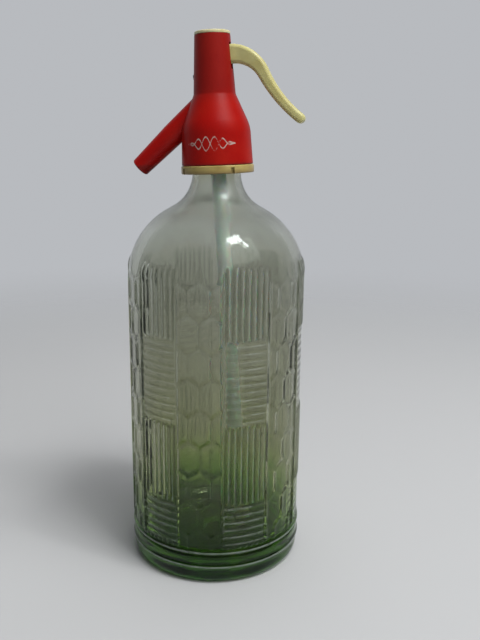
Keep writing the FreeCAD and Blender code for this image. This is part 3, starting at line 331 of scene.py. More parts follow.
@dataclass(frozen=True)
class PressedGlass(Finish):
    """Pale green bottle glass, deeper towards the heavy base, with faint waves from the mould. Metres."""

    name: str = "pressed_glass"
    # Tints by height, as a share of the height of the lip.
    tints: tuple[tuple[float, Colour], ...] = (
        (0.02, (0.05, 0.24, 0.010, 1.0)),
        (0.10, (0.22, 0.47, 0.045, 1.0)),
        (0.19, (0.49, 0.575, 0.25, 1.0)),
        (0.27, (0.64, 0.65, 0.46, 1.0)),
        (0.45, (0.65, 0.655, 0.535, 1.0)),
        (0.70, (0.71, 0.71, 0.63, 1.0)),
        (0.84, (0.91, 0.92, 0.88, 1.0)),
        (0.92, (0.91, 0.92, 0.86, 1.0)),
        (0.97, (0.74, 0.73, 0.57, 1.0)),
    )
    lip_level: float = 0.23
    streaking: float = 0.12
    mirror_tint: Colour = (0.62, 0.69, 0.67, 1.0)
    deep: Colour = (0.68, 0.74, 0.60, 1.0)
    density: float = 28.0
    hollow_tone: Colour = (0.40, 0.42, 0.37, 1.0)
    # Dried sediment on the inner floor, and a thin film on the inner wall that is thicker in the neck.
    inner_edge: float = 0.0462
    sediment: Colour = (0.13, 0.16, 0.02, 1.0)
    sediment_levels: Span = (0.036, 0.016)
    film: float = 0.06
    neck_film: float = 0.16
    neck_levels: Span = (0.187, 0.199)
    mouth_levels: Span = (0.226, 0.212)
    # A faint greasy coat on one side of the shoulder.
    smear_side: Point = (0.34, -0.94)
    smear_levels: Span = (0.12, 0.17)
    smear: float = 0.6
    # Crests that are rubbed matt and pale, partly wear and partly a painted highlight.
    scuff_and_highlight: Colour = (0.60, 0.66, 0.62, 1.0)
    foot_crest: Span = (0.04895, 0.04922)
    foot_top: float = 0.0212
    foot_scuff_and_highlight: float = 0.26
    crest_scuff_and_highlight: float = 0.34

    def surface(self, graph: Graph, place: Socket) -> Values:
        """Tint by height with faint streaks, darkening along the pattern, sediment, the inner film, the smear
        and waves.

        Args:
            graph: the material's graph.
            place: the Object coordinates.

        Returns:
            The shader's socket values.
        """
        x, y, height = graph.parts(place)
        radius = (x ** 2 + y ** 2) ** 0.5
        outside = radius > self.inner_edge
        streaks = graph.noise(graph.stretched(place, (1.0, 1.0, 0.12)), scale=60.0, detail=2.0)
        level = height / self.lip_level + (streaks - 0.5) * self.streaking
        tint = graph.read("ShaderNodeValToRGB", "Color", {"stops": self.tints}, {0: level})
        # Darker in the pattern's hollows and on its honeycomb lines, lighter on its crests and borders.
        tint = graph.mix(1.0, tint, graph.mix(graph.attribute(RELIEF), self.hollow_tone, WHITE), "MULTIPLY")
        patches = graph.rise(graph.noise(place, scale=55.0, detail=4.0, roughness=0.6), 0.40, 0.62)
        settled = patches * graph.rise(height, *self.sediment_levels)
        tint = graph.mix(settled * (1.0 - outside) * 0.85, tint, self.sediment)
        to_side = (x * self.smear_side[0] + y * self.smear_side[1]) / graph.larger(radius, MM)
        smeared = graph.rise(height, *self.smear_levels) * graph.rise(to_side, 0.35, 0.9)
        film = graph.rise(height, *self.neck_levels) * self.neck_film + self.film
        film = film * graph.rise(height, *self.mouth_levels)
        grain = graph.noise(place, scale=900.0, detail=2.0)
        waves = graph.noise(graph.stretched(place, (1.0, 1.0, 0.5)), scale=70.0, detail=2.0)
        return {
            "Base Color": tint,
            "Roughness": grain * 0.04 + 0.01 + (1.0 - outside) * film,
            "IOR": 1.47,
            "Transmission Weight": 0.97,
            "Specular Tint": self.mirror_tint,
            "Coat Weight": smeared * outside * self.smear,
            "Coat Roughness": 0.22,
            "Normal": self.bump(graph, waves, strength=0.3, distance=0.0006),
        }

    def wear_and_highlight(self, graph: Graph, place: Socket) -> tuple[Socket, Values]:
        """The crests of the foot ridges and of the pattern, rubbed matt by crates and hands, and pale there
        as a painted highlight.

        Args:
            graph: the material's graph.
            place: the Object coordinates.

        Returns:
            The share of scuff and painted highlight, 0 to 1, and that shader's socket values.
        """
        x, y, height = graph.parts(place)
        radius = (x ** 2 + y ** 2) ** 0.5
        patches = graph.rise(graph.noise(place, scale=260.0, detail=3.0, roughness=0.6), 0.30, 0.62)
        foot = graph.rise(radius, *self.foot_crest) * (height < self.foot_top)
        crest = graph.rise(graph.attribute(RELIEF), 0.86, 1.0) * (height > self.foot_top)
        crest = crest * (radius > self.inner_edge)
        # The pale crests are partly wear and partly a painted highlight along the ridges.
        share = foot * self.foot_scuff_and_highlight * (patches * 0.4 + 0.6) + crest * self.crest_scuff_and_highlight * patches
        return share, {"Base Color": self.scuff_and_highlight, "Roughness": 0.55, "IOR": 1.5}

    def inside(self, graph: Graph) -> Values:
        """The green of the glass itself."""
        sockets = {"Color": self.deep, "Density": self.density}
        return {"Volume": graph.read("ShaderNodeVolumeAbsorption", 0, None, sockets)}


@dataclass(frozen=True)
class RedPlastic(Finish):
    """Moulded red, a little faded, grimy at its rims, with painted shade up its tube and a worn ornament.
    Millimetres.
    """

    name: str = "red_head_plastic"
    red: Colour = (0.31, 0.003, 0.0015, 1.0)
    faded: Colour = (0.35, 0.008, 0.003, 1.0)
    # Grime at the rims and in specks, also used as painted shade on the upper tube.
    grime_and_shade: Colour = (0.16, 0.010, 0.008, 1.0)
    print_colour: Colour = (0.50, 0.43, 0.38, 1.0)
    rim_levels: Span = (4.6, 3.0)
    # Painted shade: the upper tube darkens between these heights, except beyond this reach towards negative
    # x.
    tube_shade_levels: Span = (34.0, 44.0)
    tube_shade_reach: float = 14.0
    skirt_radius: float = 18.6
    ornament_level: float = 13.0
    ornament_half: float = 13.5
    ornament_full: float = 3.0
    ornament_rise: float = 3.4
    ornament_pitch: float = 9.0
    strand_edge: Span = (0.5, 0.25)

    def surface(self, graph: Graph, place: Socket) -> Values:
        """Fading, grime at the rims, painted shade up the tube, fine scratches and the ornament.

        Args:
            graph: the material's graph.
            place: the Object coordinates.

        Returns:
            The shader's socket values.
        """
        across, along, height = self.head_place(graph, place)
        clouds = graph.noise(place, scale=55.0, detail=4.0)
        colour = graph.mix(graph.rise(clouds, 0.35, 0.75), self.red, self.faded)
        low_rim = graph.rise(height + clouds * 1.5, *self.rim_levels)
        # Painted shade: the upper tube is darkened where the light falls off up it.
        painted_tube_shade = graph.rise(height + clouds * 4.0, *self.tube_shade_levels) * (across > -self.tube_shade_reach)
        colour = graph.mix(graph.larger(low_rim * 0.75, painted_tube_shade * 0.5), colour, self.grime_and_shade)
        specks = graph.rise(graph.noise(place, scale=1400.0, detail=2.0), 0.66, 0.74)
        colour = graph.mix(specks * 0.35, colour, self.grime_and_shade)
        mark = self.ornament(graph, place, across, along, height)
        relief = graph.noise(place, scale=160.0, detail=2.0) * 0.4 + mark * 0.4
        return {
            "Base Color": graph.mix(mark, colour, self.print_colour),
            "Roughness": clouds * 0.14 + 0.36 + self.scratches(graph, place) * 0.12 + mark * 0.2,
            "IOR": 1.5,
            "Specular IOR Level": 0.17,
            "Normal": self.bump(graph, relief, strength=0.15, distance=0.0002),
        }

    def ornament(self, graph: Graph, place: Socket, across: Socket, along: Socket, height: Socket) -> Socket:
        """A worn generic ornament: two strands that wind about each other.

        Args:
            graph: the material's graph.
            place: the Object coordinates.
            across: x in the head's frame.
            along: y in the head's frame.
            height: the height in the head's frame.

        Returns:
            The mask, 0 to 1.
        """
        around = graph.maths("ARCTAN2", across, along * -1.0) * self.skirt_radius
        rise = height - self.ornament_level
        swell = graph.rise(abs(around), self.ornament_half, self.ornament_full) * self.ornament_rise
        wave = graph.maths("SINE", around * (math.tau / self.ornament_pitch))
        strands = [graph.rise(abs(rise - wave * swell * side), *self.strand_edge) for side in (-1.0, 1.0)]
        marks = graph.larger(*strands) * (abs(around) < self.ornament_half)
        worn = graph.rise(graph.noise(place, scale=300.0, detail=4.0, roughness=0.7), 0.66, 0.44)
        return marks * worn * 0.8


@dataclass(frozen=True)
class IvoryPlastic(Finish):
    """Cream plastic, yellowed in clouds, with dirt that has settled towards a level of the head's frame."""

    name: str = "ivory_plastic"
    cream: Colour = (0.53, 0.50, 0.22, 1.0)
    yellowed: Colour = (0.46, 0.41, 0.155, 1.0)
    dirt: Colour = (0.16, 0.10, 0.045, 1.0)
    dirt_levels: Span = (0.0, -2.4)
    speckled: float = 0.15

    def surface(self, graph: Graph, place: Socket) -> Values:
        """Clouds of yellowing, settled dirt, specks and fine scratches.

        Args:
            graph: the material's graph.
            place: the Object coordinates.

        Returns:
            The shader's socket values.
        """
        height = self.head_place(graph, place)[2]
        clouds = graph.noise(place, scale=90.0, detail=3.0)
        colour = graph.mix(graph.rise(clouds, 0.38, 0.72), self.cream, self.yellowed)
        settled = graph.rise(height + (clouds - 0.5) * 3.0, *self.dirt_levels)
        colour = graph.mix(settled * 0.7, colour, self.dirt)
        specks = graph.rise(graph.noise(place, scale=700.0, detail=2.0), 0.70, 0.76)
        relief = graph.noise(place, scale=150.0, detail=2.0) * 0.5
        return {
            "Base Color": graph.mix(specks * self.speckled, colour, self.dirt),
            "Roughness": clouds * 0.18 + 0.24 + self.scratches(graph, place) * 0.15,
            "IOR": 1.5,
            "Subsurface Weight": 0.08,
            "Subsurface Radius": (0.003, 0.0025, 0.0012),
            "Normal": self.bump(graph, relief, strength=0.12, distance=0.0002),
        }


@dataclass(frozen=True)
class MilkyTube(Finish):
    """The dip tube's cloudy plastic, with a faint tide mark where it stands in water. Metres."""

    name: str = "milky_tube_plastic"
    clear: Colour = (0.90, 1.0, 1.0, 1.0)
    stained: Colour = (0.50, 0.52, 0.40, 1.0)
    stain_levels: Span = (0.05, 0.015)

    def surface(self, graph: Graph, place: Socket) -> Values:
        """Clouds along the tube and stain at its foot.

        Args:
            graph: the material's graph.
            place: the Object coordinates.

        Returns:
            The shader's socket values.
        """
        height = graph.parts(place)[2]
        clouds = graph.noise(graph.stretched(place, (1.0, 1.0, 0.3)), scale=160.0, detail=3.0)
        stain = graph.rise(height + (clouds - 0.5) * 0.03, *self.stain_levels)
        return {
            "Base Color": graph.mix(stain, self.clear, self.stained),
            "Roughness": clouds * 0.2 + 0.2,
            "IOR": 1.48,
            "Transmission Weight": 0.12,
            "Subsurface Weight": 0.6,
            "Subsurface Scale": 0.004,
            "Normal": self.bump(graph, clouds, strength=0.15, distance=0.0002),
        }


@dataclass(frozen=True)
class TurnedMetal(Finish):
    """Metal with the rings of the lathe about the head's axis, dulled in patches. Millimetres."""

    name: str = "turned_metal"
    bright: Colour = (0.66, 0.65, 0.62, 1.0)
    dull: Colour = (0.36, 0.33, 0.28, 1.0)
    roughness: float = 0.3
    ring_pitch: float = 0.35

    def surface(self, graph: Graph, place: Socket) -> Values:
        """Tarnish in clouds and fine rings about the axis.

        Args:
            graph: the material's graph.
            place: the Object coordinates.

        Returns:
            The shader's socket values.
        """
        across, along, height = self.head_place(graph, place)
        radius = (across ** 2 + along ** 2) ** 0.5
        rings = graph.maths("SINE", (radius + height) * (math.tau / self.ring_pitch)) * 0.5 + 0.5
        clouds = graph.noise(place, scale=240.0, detail=4.0, roughness=0.6)
        return {
            "Base Color": graph.mix(graph.rise(clouds, 0.4, 0.75), self.bright, self.dull),
            "Metallic": 1.0,
            "Roughness": clouds * 0.2 + self.roughness,
            "Normal": self.bump(graph, rings, strength=0.12, distance=0.00005),
        }


@dataclass(frozen=True)
class Rubber(Finish):
    """Matt black rubber with a dusty bloom."""

    name: str = "washer_rubber"
    black: Colour = (0.022, 0.022, 0.022, 1.0)
    bloom: Colour = (0.10, 0.10, 0.095, 1.0)

    def surface(self, graph: Graph, place: Socket) -> Values:
        """Bloom in clouds over a fine grain.

        Args:
            graph: the material's graph.
            place: the Object coordinates.

        Returns:
            The shader's socket values.
        """
        clouds = graph.noise(place, scale=300.0, detail=4.0)
        grain = graph.noise(place, scale=2500.0, detail=2.0)
        return {
            "Base Color": graph.mix(graph.rise(clouds, 0.45, 0.8), self.black, self.bloom),
            "Roughness": clouds * 0.2 + 0.65,
            "Normal": self.bump(graph, grain, strength=0.3, distance=0.0001),
        }


@dataclass(frozen=True)
class PaleFloor(Finish):
    """The plain pale ground, which thins out into the world at a distance. Metres."""

    name: str = "pale_floor"
    pale: Colour = (0.48, 0.485, 0.49, 1.0)
    darker: float = 0.94
    fade: Span = (1.05, 0.3)

    def surface(self, graph: Graph, place: Socket) -> Values:
        """An even pale tone with a trace of grain.

        Args:
            graph: the material's graph.
            place: the Object coordinates.

        Returns:
            The shader's socket values.
        """
        away = graph.read("ShaderNodeVectorMath", "Value", {"operation": "LENGTH"}, {0: place})
        grain = graph.noise(place, scale=40.0, detail=2.0) * 0.1
        return {
            "Base Color": graph.mix(grain, self.pale, tuple(self.darker * c for c in self.pale)),
            "Roughness": 0.8,
            "Specular IOR Level": 0.1,
            "Alpha": graph.rise(away, *self.fade),
        }


GLASS = PressedGlass()
RED = RedPlastic()
IVORY_LEVER = IvoryPlastic("lever_ivory", dirt_levels=(20.0, 8.0))
IVORY_RING = IvoryPlastic("ring_ivory", cream=(0.43, 0.34, 0.115, 1.0), yellowed=(0.29, 0.20, 0.055, 1.0),
                          dirt_levels=(0.6, -2.6), speckled=0.6)
IVORY_CAP = IvoryPlastic("cap_ivory", cream=(0.58, 0.54, 0.32, 1.0), dirt_levels=(68.3, 67.4))
MILKY = MilkyTube()
NICKEL = TurnedMetal("nickel_plate")
BRASS = TurnedMetal("turned_brass", bright=(0.72, 0.52, 0.22, 1.0), dull=(0.40, 0.26, 0.10, 1.0),
                    roughness=0.26)
STEEL = TurnedMetal("bright_steel", bright=(0.62, 0.62, 0.63, 1.0), dull=(0.42, 0.42, 0.43, 1.0),
                    roughness=0.2)
RUBBER = Rubber()


class Slot(Enum):
    """The material slots that are named with new pieces."""

    GLASS = "glass"
    RED = "red_plastic"
    IVORY = "ivory_plastic"
    TUBE = "tube_plastic"
    STEEL = "steel"


# ---------------------------------------------------------------- mesh helpers
def arc(centre: Point, radius: float, start: float, end: float, steps: int) -> Profile:
    """Points on an arc.

    Args:
        centre: its centre, (radius, height) in millimetres.
        radius: its radius.
        start: where it starts, in degrees from the outward direction.
        end: where it ends.
        steps: how many steps it has.

    Returns:
        The points, both ends included.
    """
    angles = [math.radians(start + (end - start) * i / steps) for i in range(steps + 1)]
    return [(centre[0] + radius * math.cos(a), centre[1] + radius * math.sin(a)) for a in angles]


def line(start: Point, end: Point, steps: int) -> Profile:
    """Points on a straight run, both ends included."""
    return [(start[0] + (end[0] - start[0]) * i / steps, start[1] + (end[1] - start[1]) * i / steps)
            for i in range(steps + 1)]


def eased(points: Profile, low: float, high: float, passes: int) -> Profile:
    """Averages the points between two heights with their neighbours, so that the bends there run on.

    Args:
        points: a profile, whose ends stay.
        low: the lower height.
        high: the upper height.
        passes: how often it is done.

    Returns:
        The new profile.
    """
    for _ in range(passes):
        middle = [((a[0] + 2 * b[0] + c[0]) / 4, (a[1] + 2 * b[1] + c[1]) / 4) if low < b[1] < high else b
                  for a, b, c in zip(points, points[1:], points[2:])]
        points = [points[0], *middle, points[-1]]
    return points


def new_object(name: str, mesh: bpy.types.Mesh, finish: Finish) -> bpy.types.Object:
    """Puts a mesh in the scene, at the origin.

    Args:
        name: the name of the object and of the mesh.
        mesh: the mesh.
        finish: its only finish.

    Returns:
        The new object.
    """
    mesh.name = name
    mesh.materials.clear()
    mesh.materials.append(finish.material())
    made = bpy.data.objects.new(name, mesh)
    bpy.context.scene.collection.objects.link(made)
    return made


def applied(blank: bpy.types.Object, modifier: bpy.types.Modifier) -> bpy.types.Mesh:
    """Turns a blank and its one modifier into a plain mesh.

    Args:
        blank: the object, which is removed.
        modifier: its modifier.

    Returns:
        The mesh.
    """
    made = bpy.data.meshes.new_from_object(blank.evaluated_get(bpy.context.evaluated_depsgraph_get()))
    blank.modifiers.remove(modifier)
    bpy.data.objects.remove(blank)
    return made


def smooth_by_angle(mesh: bpy.types.Mesh, sharp_angle: float) -> None:
    """Shades a mesh smooth, apart from its sharp edges.

    Args:
        mesh: the mesh.
        sharp_angle: edges with a larger angle stay sharp, in degrees.
    """
    shape = bmesh.new()
    shape.from_mesh(mesh)
    for face in shape.faces:
        face.smooth = True
    for edge in shape.edges:
        if len(edge.link_faces) == 2:
            edge.smooth = edge.calc_face_angle(0.0) < math.radians(sharp_angle)
    shape.to_mesh(mesh)
    shape.free()


def dressed_copy(node: bpy.types.Object, name: str, finish: Finish,
                 sharp_angle: float = 28.0) -> bpy.types.Object:
    """A joined-up, smoothly shaded copy of a CAD node.

    Args:
        node: the CAD node's object.
        name: the new piece's name.
        finish: its finish.
        sharp_angle: edges with a larger angle stay sharp, in degrees.

    Returns:
        The new object.
    """
    shape = bmesh.new()
    shape.from_mesh(node.data)
    bmesh.ops.remove_doubles(shape, verts=shape.verts, dist=WELD)
    bmesh.ops.dissolve_degenerate(shape, edges=shape.edges, dist=WELD / 2)
    mesh = bpy.data.meshes.new(name)
    shape.to_mesh(mesh)
    shape.free()
    smooth_by_angle(mesh, sharp_angle)
    blank = new_object(name + "_blank", mesh, finish)
    evened = blank.modifiers.new("even_normals", "WEIGHTED_NORMAL")
    evened.keep_sharp = True
    return new_object(name, applied(blank, evened), finish)


def give(piece: bpy.types.Object, body: str, slot: Slot, *nodes: str) -> bpy.types.Object:
    """Puts a piece on its body and hides the CAD nodes that it stands for.

    Args:
        piece: the piece.
        body: the body that it moves with.
        slot: not used.
        nodes: the CAD nodes that it stands for.

    Returns:
        The piece.
    """
    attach(piece, body)
    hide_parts(*nodes)
    return piece


# ---------------------------------------------------------------- the bottle
class Panel(Enum):
    """The two kinds of column in the pressed pattern."""

    RIBS = 0
    HONEYCOMB = 1


@dataclass(frozen=True)
class Ring:
    """One level of the bottle's skin: its radius and height, and whether it has the pattern's columns."""

    radius: float
    height: float
    fine: bool = False


@dataclass
class Bottle:
    """The pressed glass bottle: one closed skin whose pattern is raised by rule. Millimetres, degrees."""

    field_radius: float = 48.35
    widest: float = 49.3
    columns: int = 12
    # The foot, its hollow underside and its two ridges.
    foot_radius: float = 48.6
    foot_round: float = 5.0
    punt_radius: float = 37.1
    punt_rise: float = 3.5
    punt_stops: tuple[float, ...] = (6.0, 14.0, 22.0, 29.0, 34.0)
    low_ridge: Span = (9.3, 11.5)
    high_ridge: Span = (17.4, 20.6)
    ridge_rise: float = 0.72
    # The shoulder and the neck are arcs. The stops are where the shoulder's patterned part starts and ends
    # and its plain part starts, and the end is where the neck takes over.
    shoulder_centre: Point = (6.3, 162.5)
    shoulder_radius: float = 42.7
    shoulder_stops: tuple[float, float, float] = (9.8, 21.0, 23.0)
    shoulder_end: float = 64.79
    neck_centre: Point = (32.9, 219.0)
    neck_radius: float = 13.15
    outer_easing: Span = (188.0, 214.0)
    # The groove for the collar, the lip and its inner edge.
    groove: tuple[Point, ...] = (
        (13.15, 220.2), (12.95, 220.45), (12.2, 220.72), (12.0, 220.95), (12.0, 223.0), (12.0, 225.5),
        (12.2, 225.8), (13.4, 226.12), (13.72, 226.3), (13.8, 226.6),
    )
    lip_centre: Point = (12.6, 229.2)
    lip_round: float = 1.2
    mouth: tuple[Point, ...] = ((11.6, 230.4), (10.6, 230.4), (10.1, 230.1), (9.85, 229.75))
    # The inside.
    bore_radius: float = 9.8
    bore_top: float = 229.4
    inner_neck_centre: Point = (34.95, 217.97)
    inner_shoulder_radius: float = 37.3
    inner_shoulder_end: float = 62.68
    inner_easing: Span = (188.0, 212.0)
    floor_centre: Point = (31.6, 21.0)
    floor_round: float = 12.0
    floor: tuple[Point, ...] = ((26.0, 9.35), (19.0, 10.0), (12.0, 10.6), (5.0, 10.93))
    floor_middle: float = 11.0
    # The columns of the pattern and the ridges between them.
    border_half: float = 0.75
    margin: float = 1.0
    sunk: float = 0.33
    foot_fade: Span = (20.7, 21.5)
    border_fade: Span = (20.9, 22.6)
    pattern_low: float = 21.5
    low_level_top: float = 46.5
    mid_level_low: float = 91.0
    mid_level_top: float = 136.5
    field_top: float = 169.75
    pattern_top: float = 176.5
    top_fade: float = 5.5
    soft_fade: float = 18.0
    shoulder_reach: float = 43.25
    # The ribs: upright ones, and two runs of level ones.
    rib_count: int = 7
    rib_shares: tuple[float, ...] = (0.08, 0.28, 0.5, 0.72, 0.92, 1.0)
    rib_height: float = 0.9
    rib_end: float = 1.0
    run_fade: float = 1.4
    level_share: float = 0.5
    level_rib_count: tuple[int, int] = (6, 11)
    # The honeycomb.
    comb_step: float = 1.25
    comb_line_half: float = 1.2
    comb_line_height: float = 0.8
    comb_row: float = 17.0
    comb_side: float = 12.5
    # Only skin outside this radius and above this level is raised.
    skin_radius: float = 46.5
    skin_low: float = 18.0
    # How light the pattern leaves the glass, 0 to 1: plain, on borders, beside upright ribs, between level
    # ribs and how much more on their crests, and how much less on the lines of the honeycomb.
    plain_lightness: float = 0.8
    border_lightness: float = 0.89
    beside_lightness: float = 0.6
    level_lightness: float = 0.57
    level_gain: float = 0.4
    comb_darkening: float = 0.35

    @property
    def panel_width(self) -> float:
        """The width of one column between the middles of its border ridges."""
        return math.tau * self.field_radius / self.columns

    @property
    def panel_angle(self) -> float:
        """The angle of one column."""
        return 360.0 / self.columns

    @property
    def inputs(self) -> dict[str, float]:
        """The sizes that the pattern's node tree takes, by the name of its input."""
        return {"Field Radius": self.field_radius, "Rib Height": self.rib_height,
                "Comb Line Height": self.comb_line_height, "Comb Line Half": self.comb_line_half,
                "Border Half": self.border_half, "Sunk": self.sunk}

    def spread(self, start: float, end: float, steps: int = 0) -> list[float]:
        """Even stops after start, up to end and with it, in so many steps or in steps of the comb."""
        steps = steps or round((end - start) / self.comb_step)
        return [start + (end - start) * i / steps for i in range(1, steps + 1)]

    def stops(self, kind: Panel) -> list[float]:
        """Where a panel's columns of faces stand, closer where its pattern turns sharply.

        Args:
            kind: the kind of panel.

        Returns:
            The distances from its first border ridge.
        """
        stops = [self.margin]
        if kind is Panel.RIBS:
            pitch = (self.panel_width - 2 * self.margin) / self.rib_count
            return stops + [self.margin + pitch * (rib + share) for rib in range(self.rib_count)
                            for share in self.rib_shares]
        for quarter in (1, 2, 3):
            upright = quarter * self.panel_width / 4
            stops += self.spread(stops[-1], upright - self.comb_line_half)
            stops += self.spread(stops[-1], upright + self.comb_line_half, 4)
        return stops + self.spread(stops[-1], self.panel_width - self.margin)

    def angles(self) -> list[float]:
        """Where the fine columns of faces stand all round.

        Returns:
            The angles in radians, starting at a border ridge; they can be thinned three to one.
        """
        step = self.border_half / 3
        places = []
        for panel in range(self.columns):
            kind = Panel.HONEYCOMB if panel % 2 == 0 else Panel.RIBS
            stops = [0.0, step, 2 * step, 3 * step, *self.stops(kind)]
            stops += [self.panel_width - step * i for i in (3, 2, 1)]
            start = math.radians(self.panel_angle / 2 + self.panel_angle * panel)
            places += [start + stop / self.field_radius for stop in stops]
        assert len(places) % 3 == 0, f"{len(places)} columns can't be thinned three to one"
        return places

    def rings(self) -> list[Ring]:
        """The skin's levels.

        Returns:
            The levels, from the middle of the foot up the outside and down the inside.
        """
        plain = [Ring(r, z) for r, z in self._foot()]
        fine = [Ring(r, z, True) for r, z in self._field()]
        return plain + fine + [Ring(r, z) for r, z in self._neck() + self._inside()]

    def _foot(self) -> Profile:
        """The underside and the foot, up to its high ridge.

        Returns:
            The points.
        """
        radius, flat = self.foot_radius, self.foot_radius - self.foot_round
        points = [(r, self.punt_rise * (1 - (r / self.punt_radius) ** 2)) for r in self.punt_stops]
        points += line((self.punt_radius, 0.0), (flat, 0.0), 3)
        points += arc((flat, self.foot_round), self.foot_round, -90.0, 0.0, 7)[1:]
        points += line((radius, self.foot_round), (radius, self.low_ridge[0]), 2)[1:]
        points += self._bulge((radius, self.low_ridge[0]), (radius, self.low_ridge[1]), 6)[1:]
        return points + line((radius, self.low_ridge[1]), (radius, self.high_ridge[0]), 3)[1:]

    def _field(self) -> Profile:
        """The high ridge and the pattern's field, which ends on the shoulder.

        Returns:
            The points, closer where ribs lie level.
        """
        low, high = self.high_ridge
        points = self._bulge((self.foot_radius, low), (self.field_radius, high), 7)
        points.append((self.field_radius, self.pattern_low))
        low_ribs, mid_ribs = self.level_rib_count
        for top, steps in ((self.low_level_top, low_ribs * 5), (self.mid_level_low, 36),
                           (self.mid_level_top, mid_ribs * 4), (self.field_top, 26)):
            points += line(points[-1], (self.field_radius, top), steps)[1:]
        return points + arc(self.shoulder_centre, self.shoulder_radius, *self.shoulder_stops[:2], 7)[1:]

    def _neck(self) -> Profile:
        """The plain shoulder, the neck, the groove and the lip.

        Returns:
            The points, up to the top of the bore.
        """
        start, end = self.shoulder_stops[2], self.shoulder_end
        points = arc(self.shoulder_centre, self.shoulder_radius, start, end, 12)
        hollow = self.neck_centre[0] - self.neck_radius
        points += arc(self.neck_centre, hollow, 180.0 + end, 180.0, 12)[1:]
        points = eased(points, *self.outer_easing, 2)
        lip = arc(self.lip_centre, self.lip_round, 0.0, 90.0, 5)
        return points + [*self.groove, *lip, *self.mouth]

    def _inside(self) -> Profile:
        """The bore, the inner shoulder, the inner wall and the floor.

        Returns:
            The points, down to near the middle of the floor.
        """
        centre, floor = self.inner_neck_centre, self.floor_centre
        points = line((self.bore_radius, self.bore_top), (self.bore_radius, centre[1]), 4)
        bend = arc(centre, centre[0] - self.bore_radius, 180.0, 180.0 + self.inner_shoulder_end, 12)
        bend += arc(self.shoulder_centre, self.inner_shoulder_radius, self.inner_shoulder_end, 0.0, 14)[1:]
        points += eased(bend, *self.inner_easing, 2)[1:]
        points += line(bend[-1], (floor[0] + self.floor_round, floor[1]), 5)[1:]
        return points + arc(floor, self.floor_round, 0.0, -90.0, 9)[1:] + [*self.floor]

    def _bulge(self, start: Point, end: Point, steps: int) -> Profile:
        """A rounded ridge between two points of the outside."""
        rises = [self.ridge_rise * math.sin(math.pi * i / steps) ** 1.3 for i in range(steps + 1)]
        return [(r + rise, z) for rise, (r, z) in zip(rises, line(start, end, steps))]

    def skin(self) -> bpy.types.Mesh:
        """The smooth skin, before its pattern is raised.

        Returns:
            One closed mesh in metres.
        """
        fine = self.angles()
        coarse = fine[::3]
        verts: list[tuple[float, float, float]] = [(0.0, 0.0, self.punt_rise * MM)]
        starts: list[tuple[int, int]] = []
        for ring in self.rings():
            around = fine if ring.fine else coarse
            starts.append((len(verts), len(around)))
            verts += [(ring.radius * MM * math.cos(a), ring.radius * MM * math.sin(a), ring.height * MM)
                      for a in around]
        verts.append((0.0, 0.0, self.floor_middle * MM))
        first, count = starts[0]
        faces: list[tuple[int, ...]] = [(first + j, first + (j + 1) % count, 0) for j in range(count)]
        for low, high in zip(starts, starts[1:]):
            faces += self._band(low, high)
        last, count = starts[-1]
        faces += [(last + j, last + (j + 1) % count, len(verts) - 1) for j in range(count)]
        mesh = bpy.data.meshes.new("bottle_skin")
        mesh.from_pydata(verts, [], faces)
        mesh.polygons.foreach_set("use_smooth", [True] * len(mesh.polygons))
        return mesh

    @staticmethod
    def _band(low: tuple[int, int], high: tuple[int, int]) -> list[tuple[int, ...]]:
        """Faces between two rings.

        Args:
            low: the first ring's first vertex and how many it has.
            high: the same for the next ring, with as many, a third as many or three times as many.

        Returns:
            The faces, pointing outwards.
        """
        (a, n), (b, m) = low, high
        if n == m:
            return [(a + j, a + (j + 1) % n, b + (j + 1) % n, b + j) for j in range(n)]
        faces: list[tuple[int, ...]] = []
        if n > m:
            for j in range(m):
                f = [a + (3 * j + k) % n for k in range(4)]
                here, there = b + j, b + (j + 1) % m
                faces += [(f[0], f[1], here), (f[1], f[2], there, here), (f[2], f[3], there)]
            return faces
        for j in range(n):
            f = [b + (3 * j + k) % m for k in range(4)]
            here, there = a + j, a + (j + 1) % n
            faces += [(here, f[1], f[0]), (here, there, f[2], f[1]), (there, f[3], f[2])]
        return faces

    def relief_tree(self) -> tuple[bpy.types.GeometryNodeTree, dict[str, str]]:
        """The rule of the pressed pattern, as a node tree.

        Returns:
            The tree, and the identifiers of its named inputs.
        """
        tree = bpy.data.node_groups.new("pressed_pattern", "GeometryNodeTree")
        add = tree.interface.new_socket
        add("Geometry", in_out="INPUT", socket_type="NodeSocketGeometry")
        kinds = {**dict.fromkeys(self.inputs, "NodeSocketFloat"), "Glass": "NodeSocketMaterial"}
        names = {name: add(name, in_out="INPUT", socket_type=kind).identifier for name, kind in kinds.items()}
        add("Geometry", in_out="OUTPUT", socket_type="NodeSocketGeometry")
        graph = Graph(tree)
        given = graph.node("NodeGroupInput")
        x, y, z = graph.parts(graph.read("GeometryNodeInputPosition"))
        radius = (x ** 2 + y ** 2) ** 0.5
        around = graph.maths("ARCTAN2", y, x) * (180.0 / math.pi) + 360.0
        raised, lightness = self._pattern(graph, given, around, z / MM, radius / MM)
        lift = raised * MM / graph.larger(radius, MM)
        offset = graph.read("ShaderNodeCombineXYZ", 0, None, {0: x * lift, 1: y * lift, 2: 0.0})
        noted = graph.read("GeometryNodeStoreNamedAttribute", 0, {"data_type": "FLOAT", "domain": "POINT"},
                           {"Geometry": graph.out(given, "Geometry"), "Name": RELIEF, "Value": lightness})
        moved = graph.read("GeometryNodeSetPosition", 0, None, {"Geometry": noted, "Offset": offset})
        real = graph.read("GeometryNodeRealizeInstances", 0, None, {"Geometry": moved})
        glass = {"Geometry": real, "Material": graph.out(given, "Glass")}
        glazed = graph.read("GeometryNodeSetMaterial", 0, None, glass)
        graph.node("NodeGroupOutput", None, {"Geometry": glazed})
        return tree, names

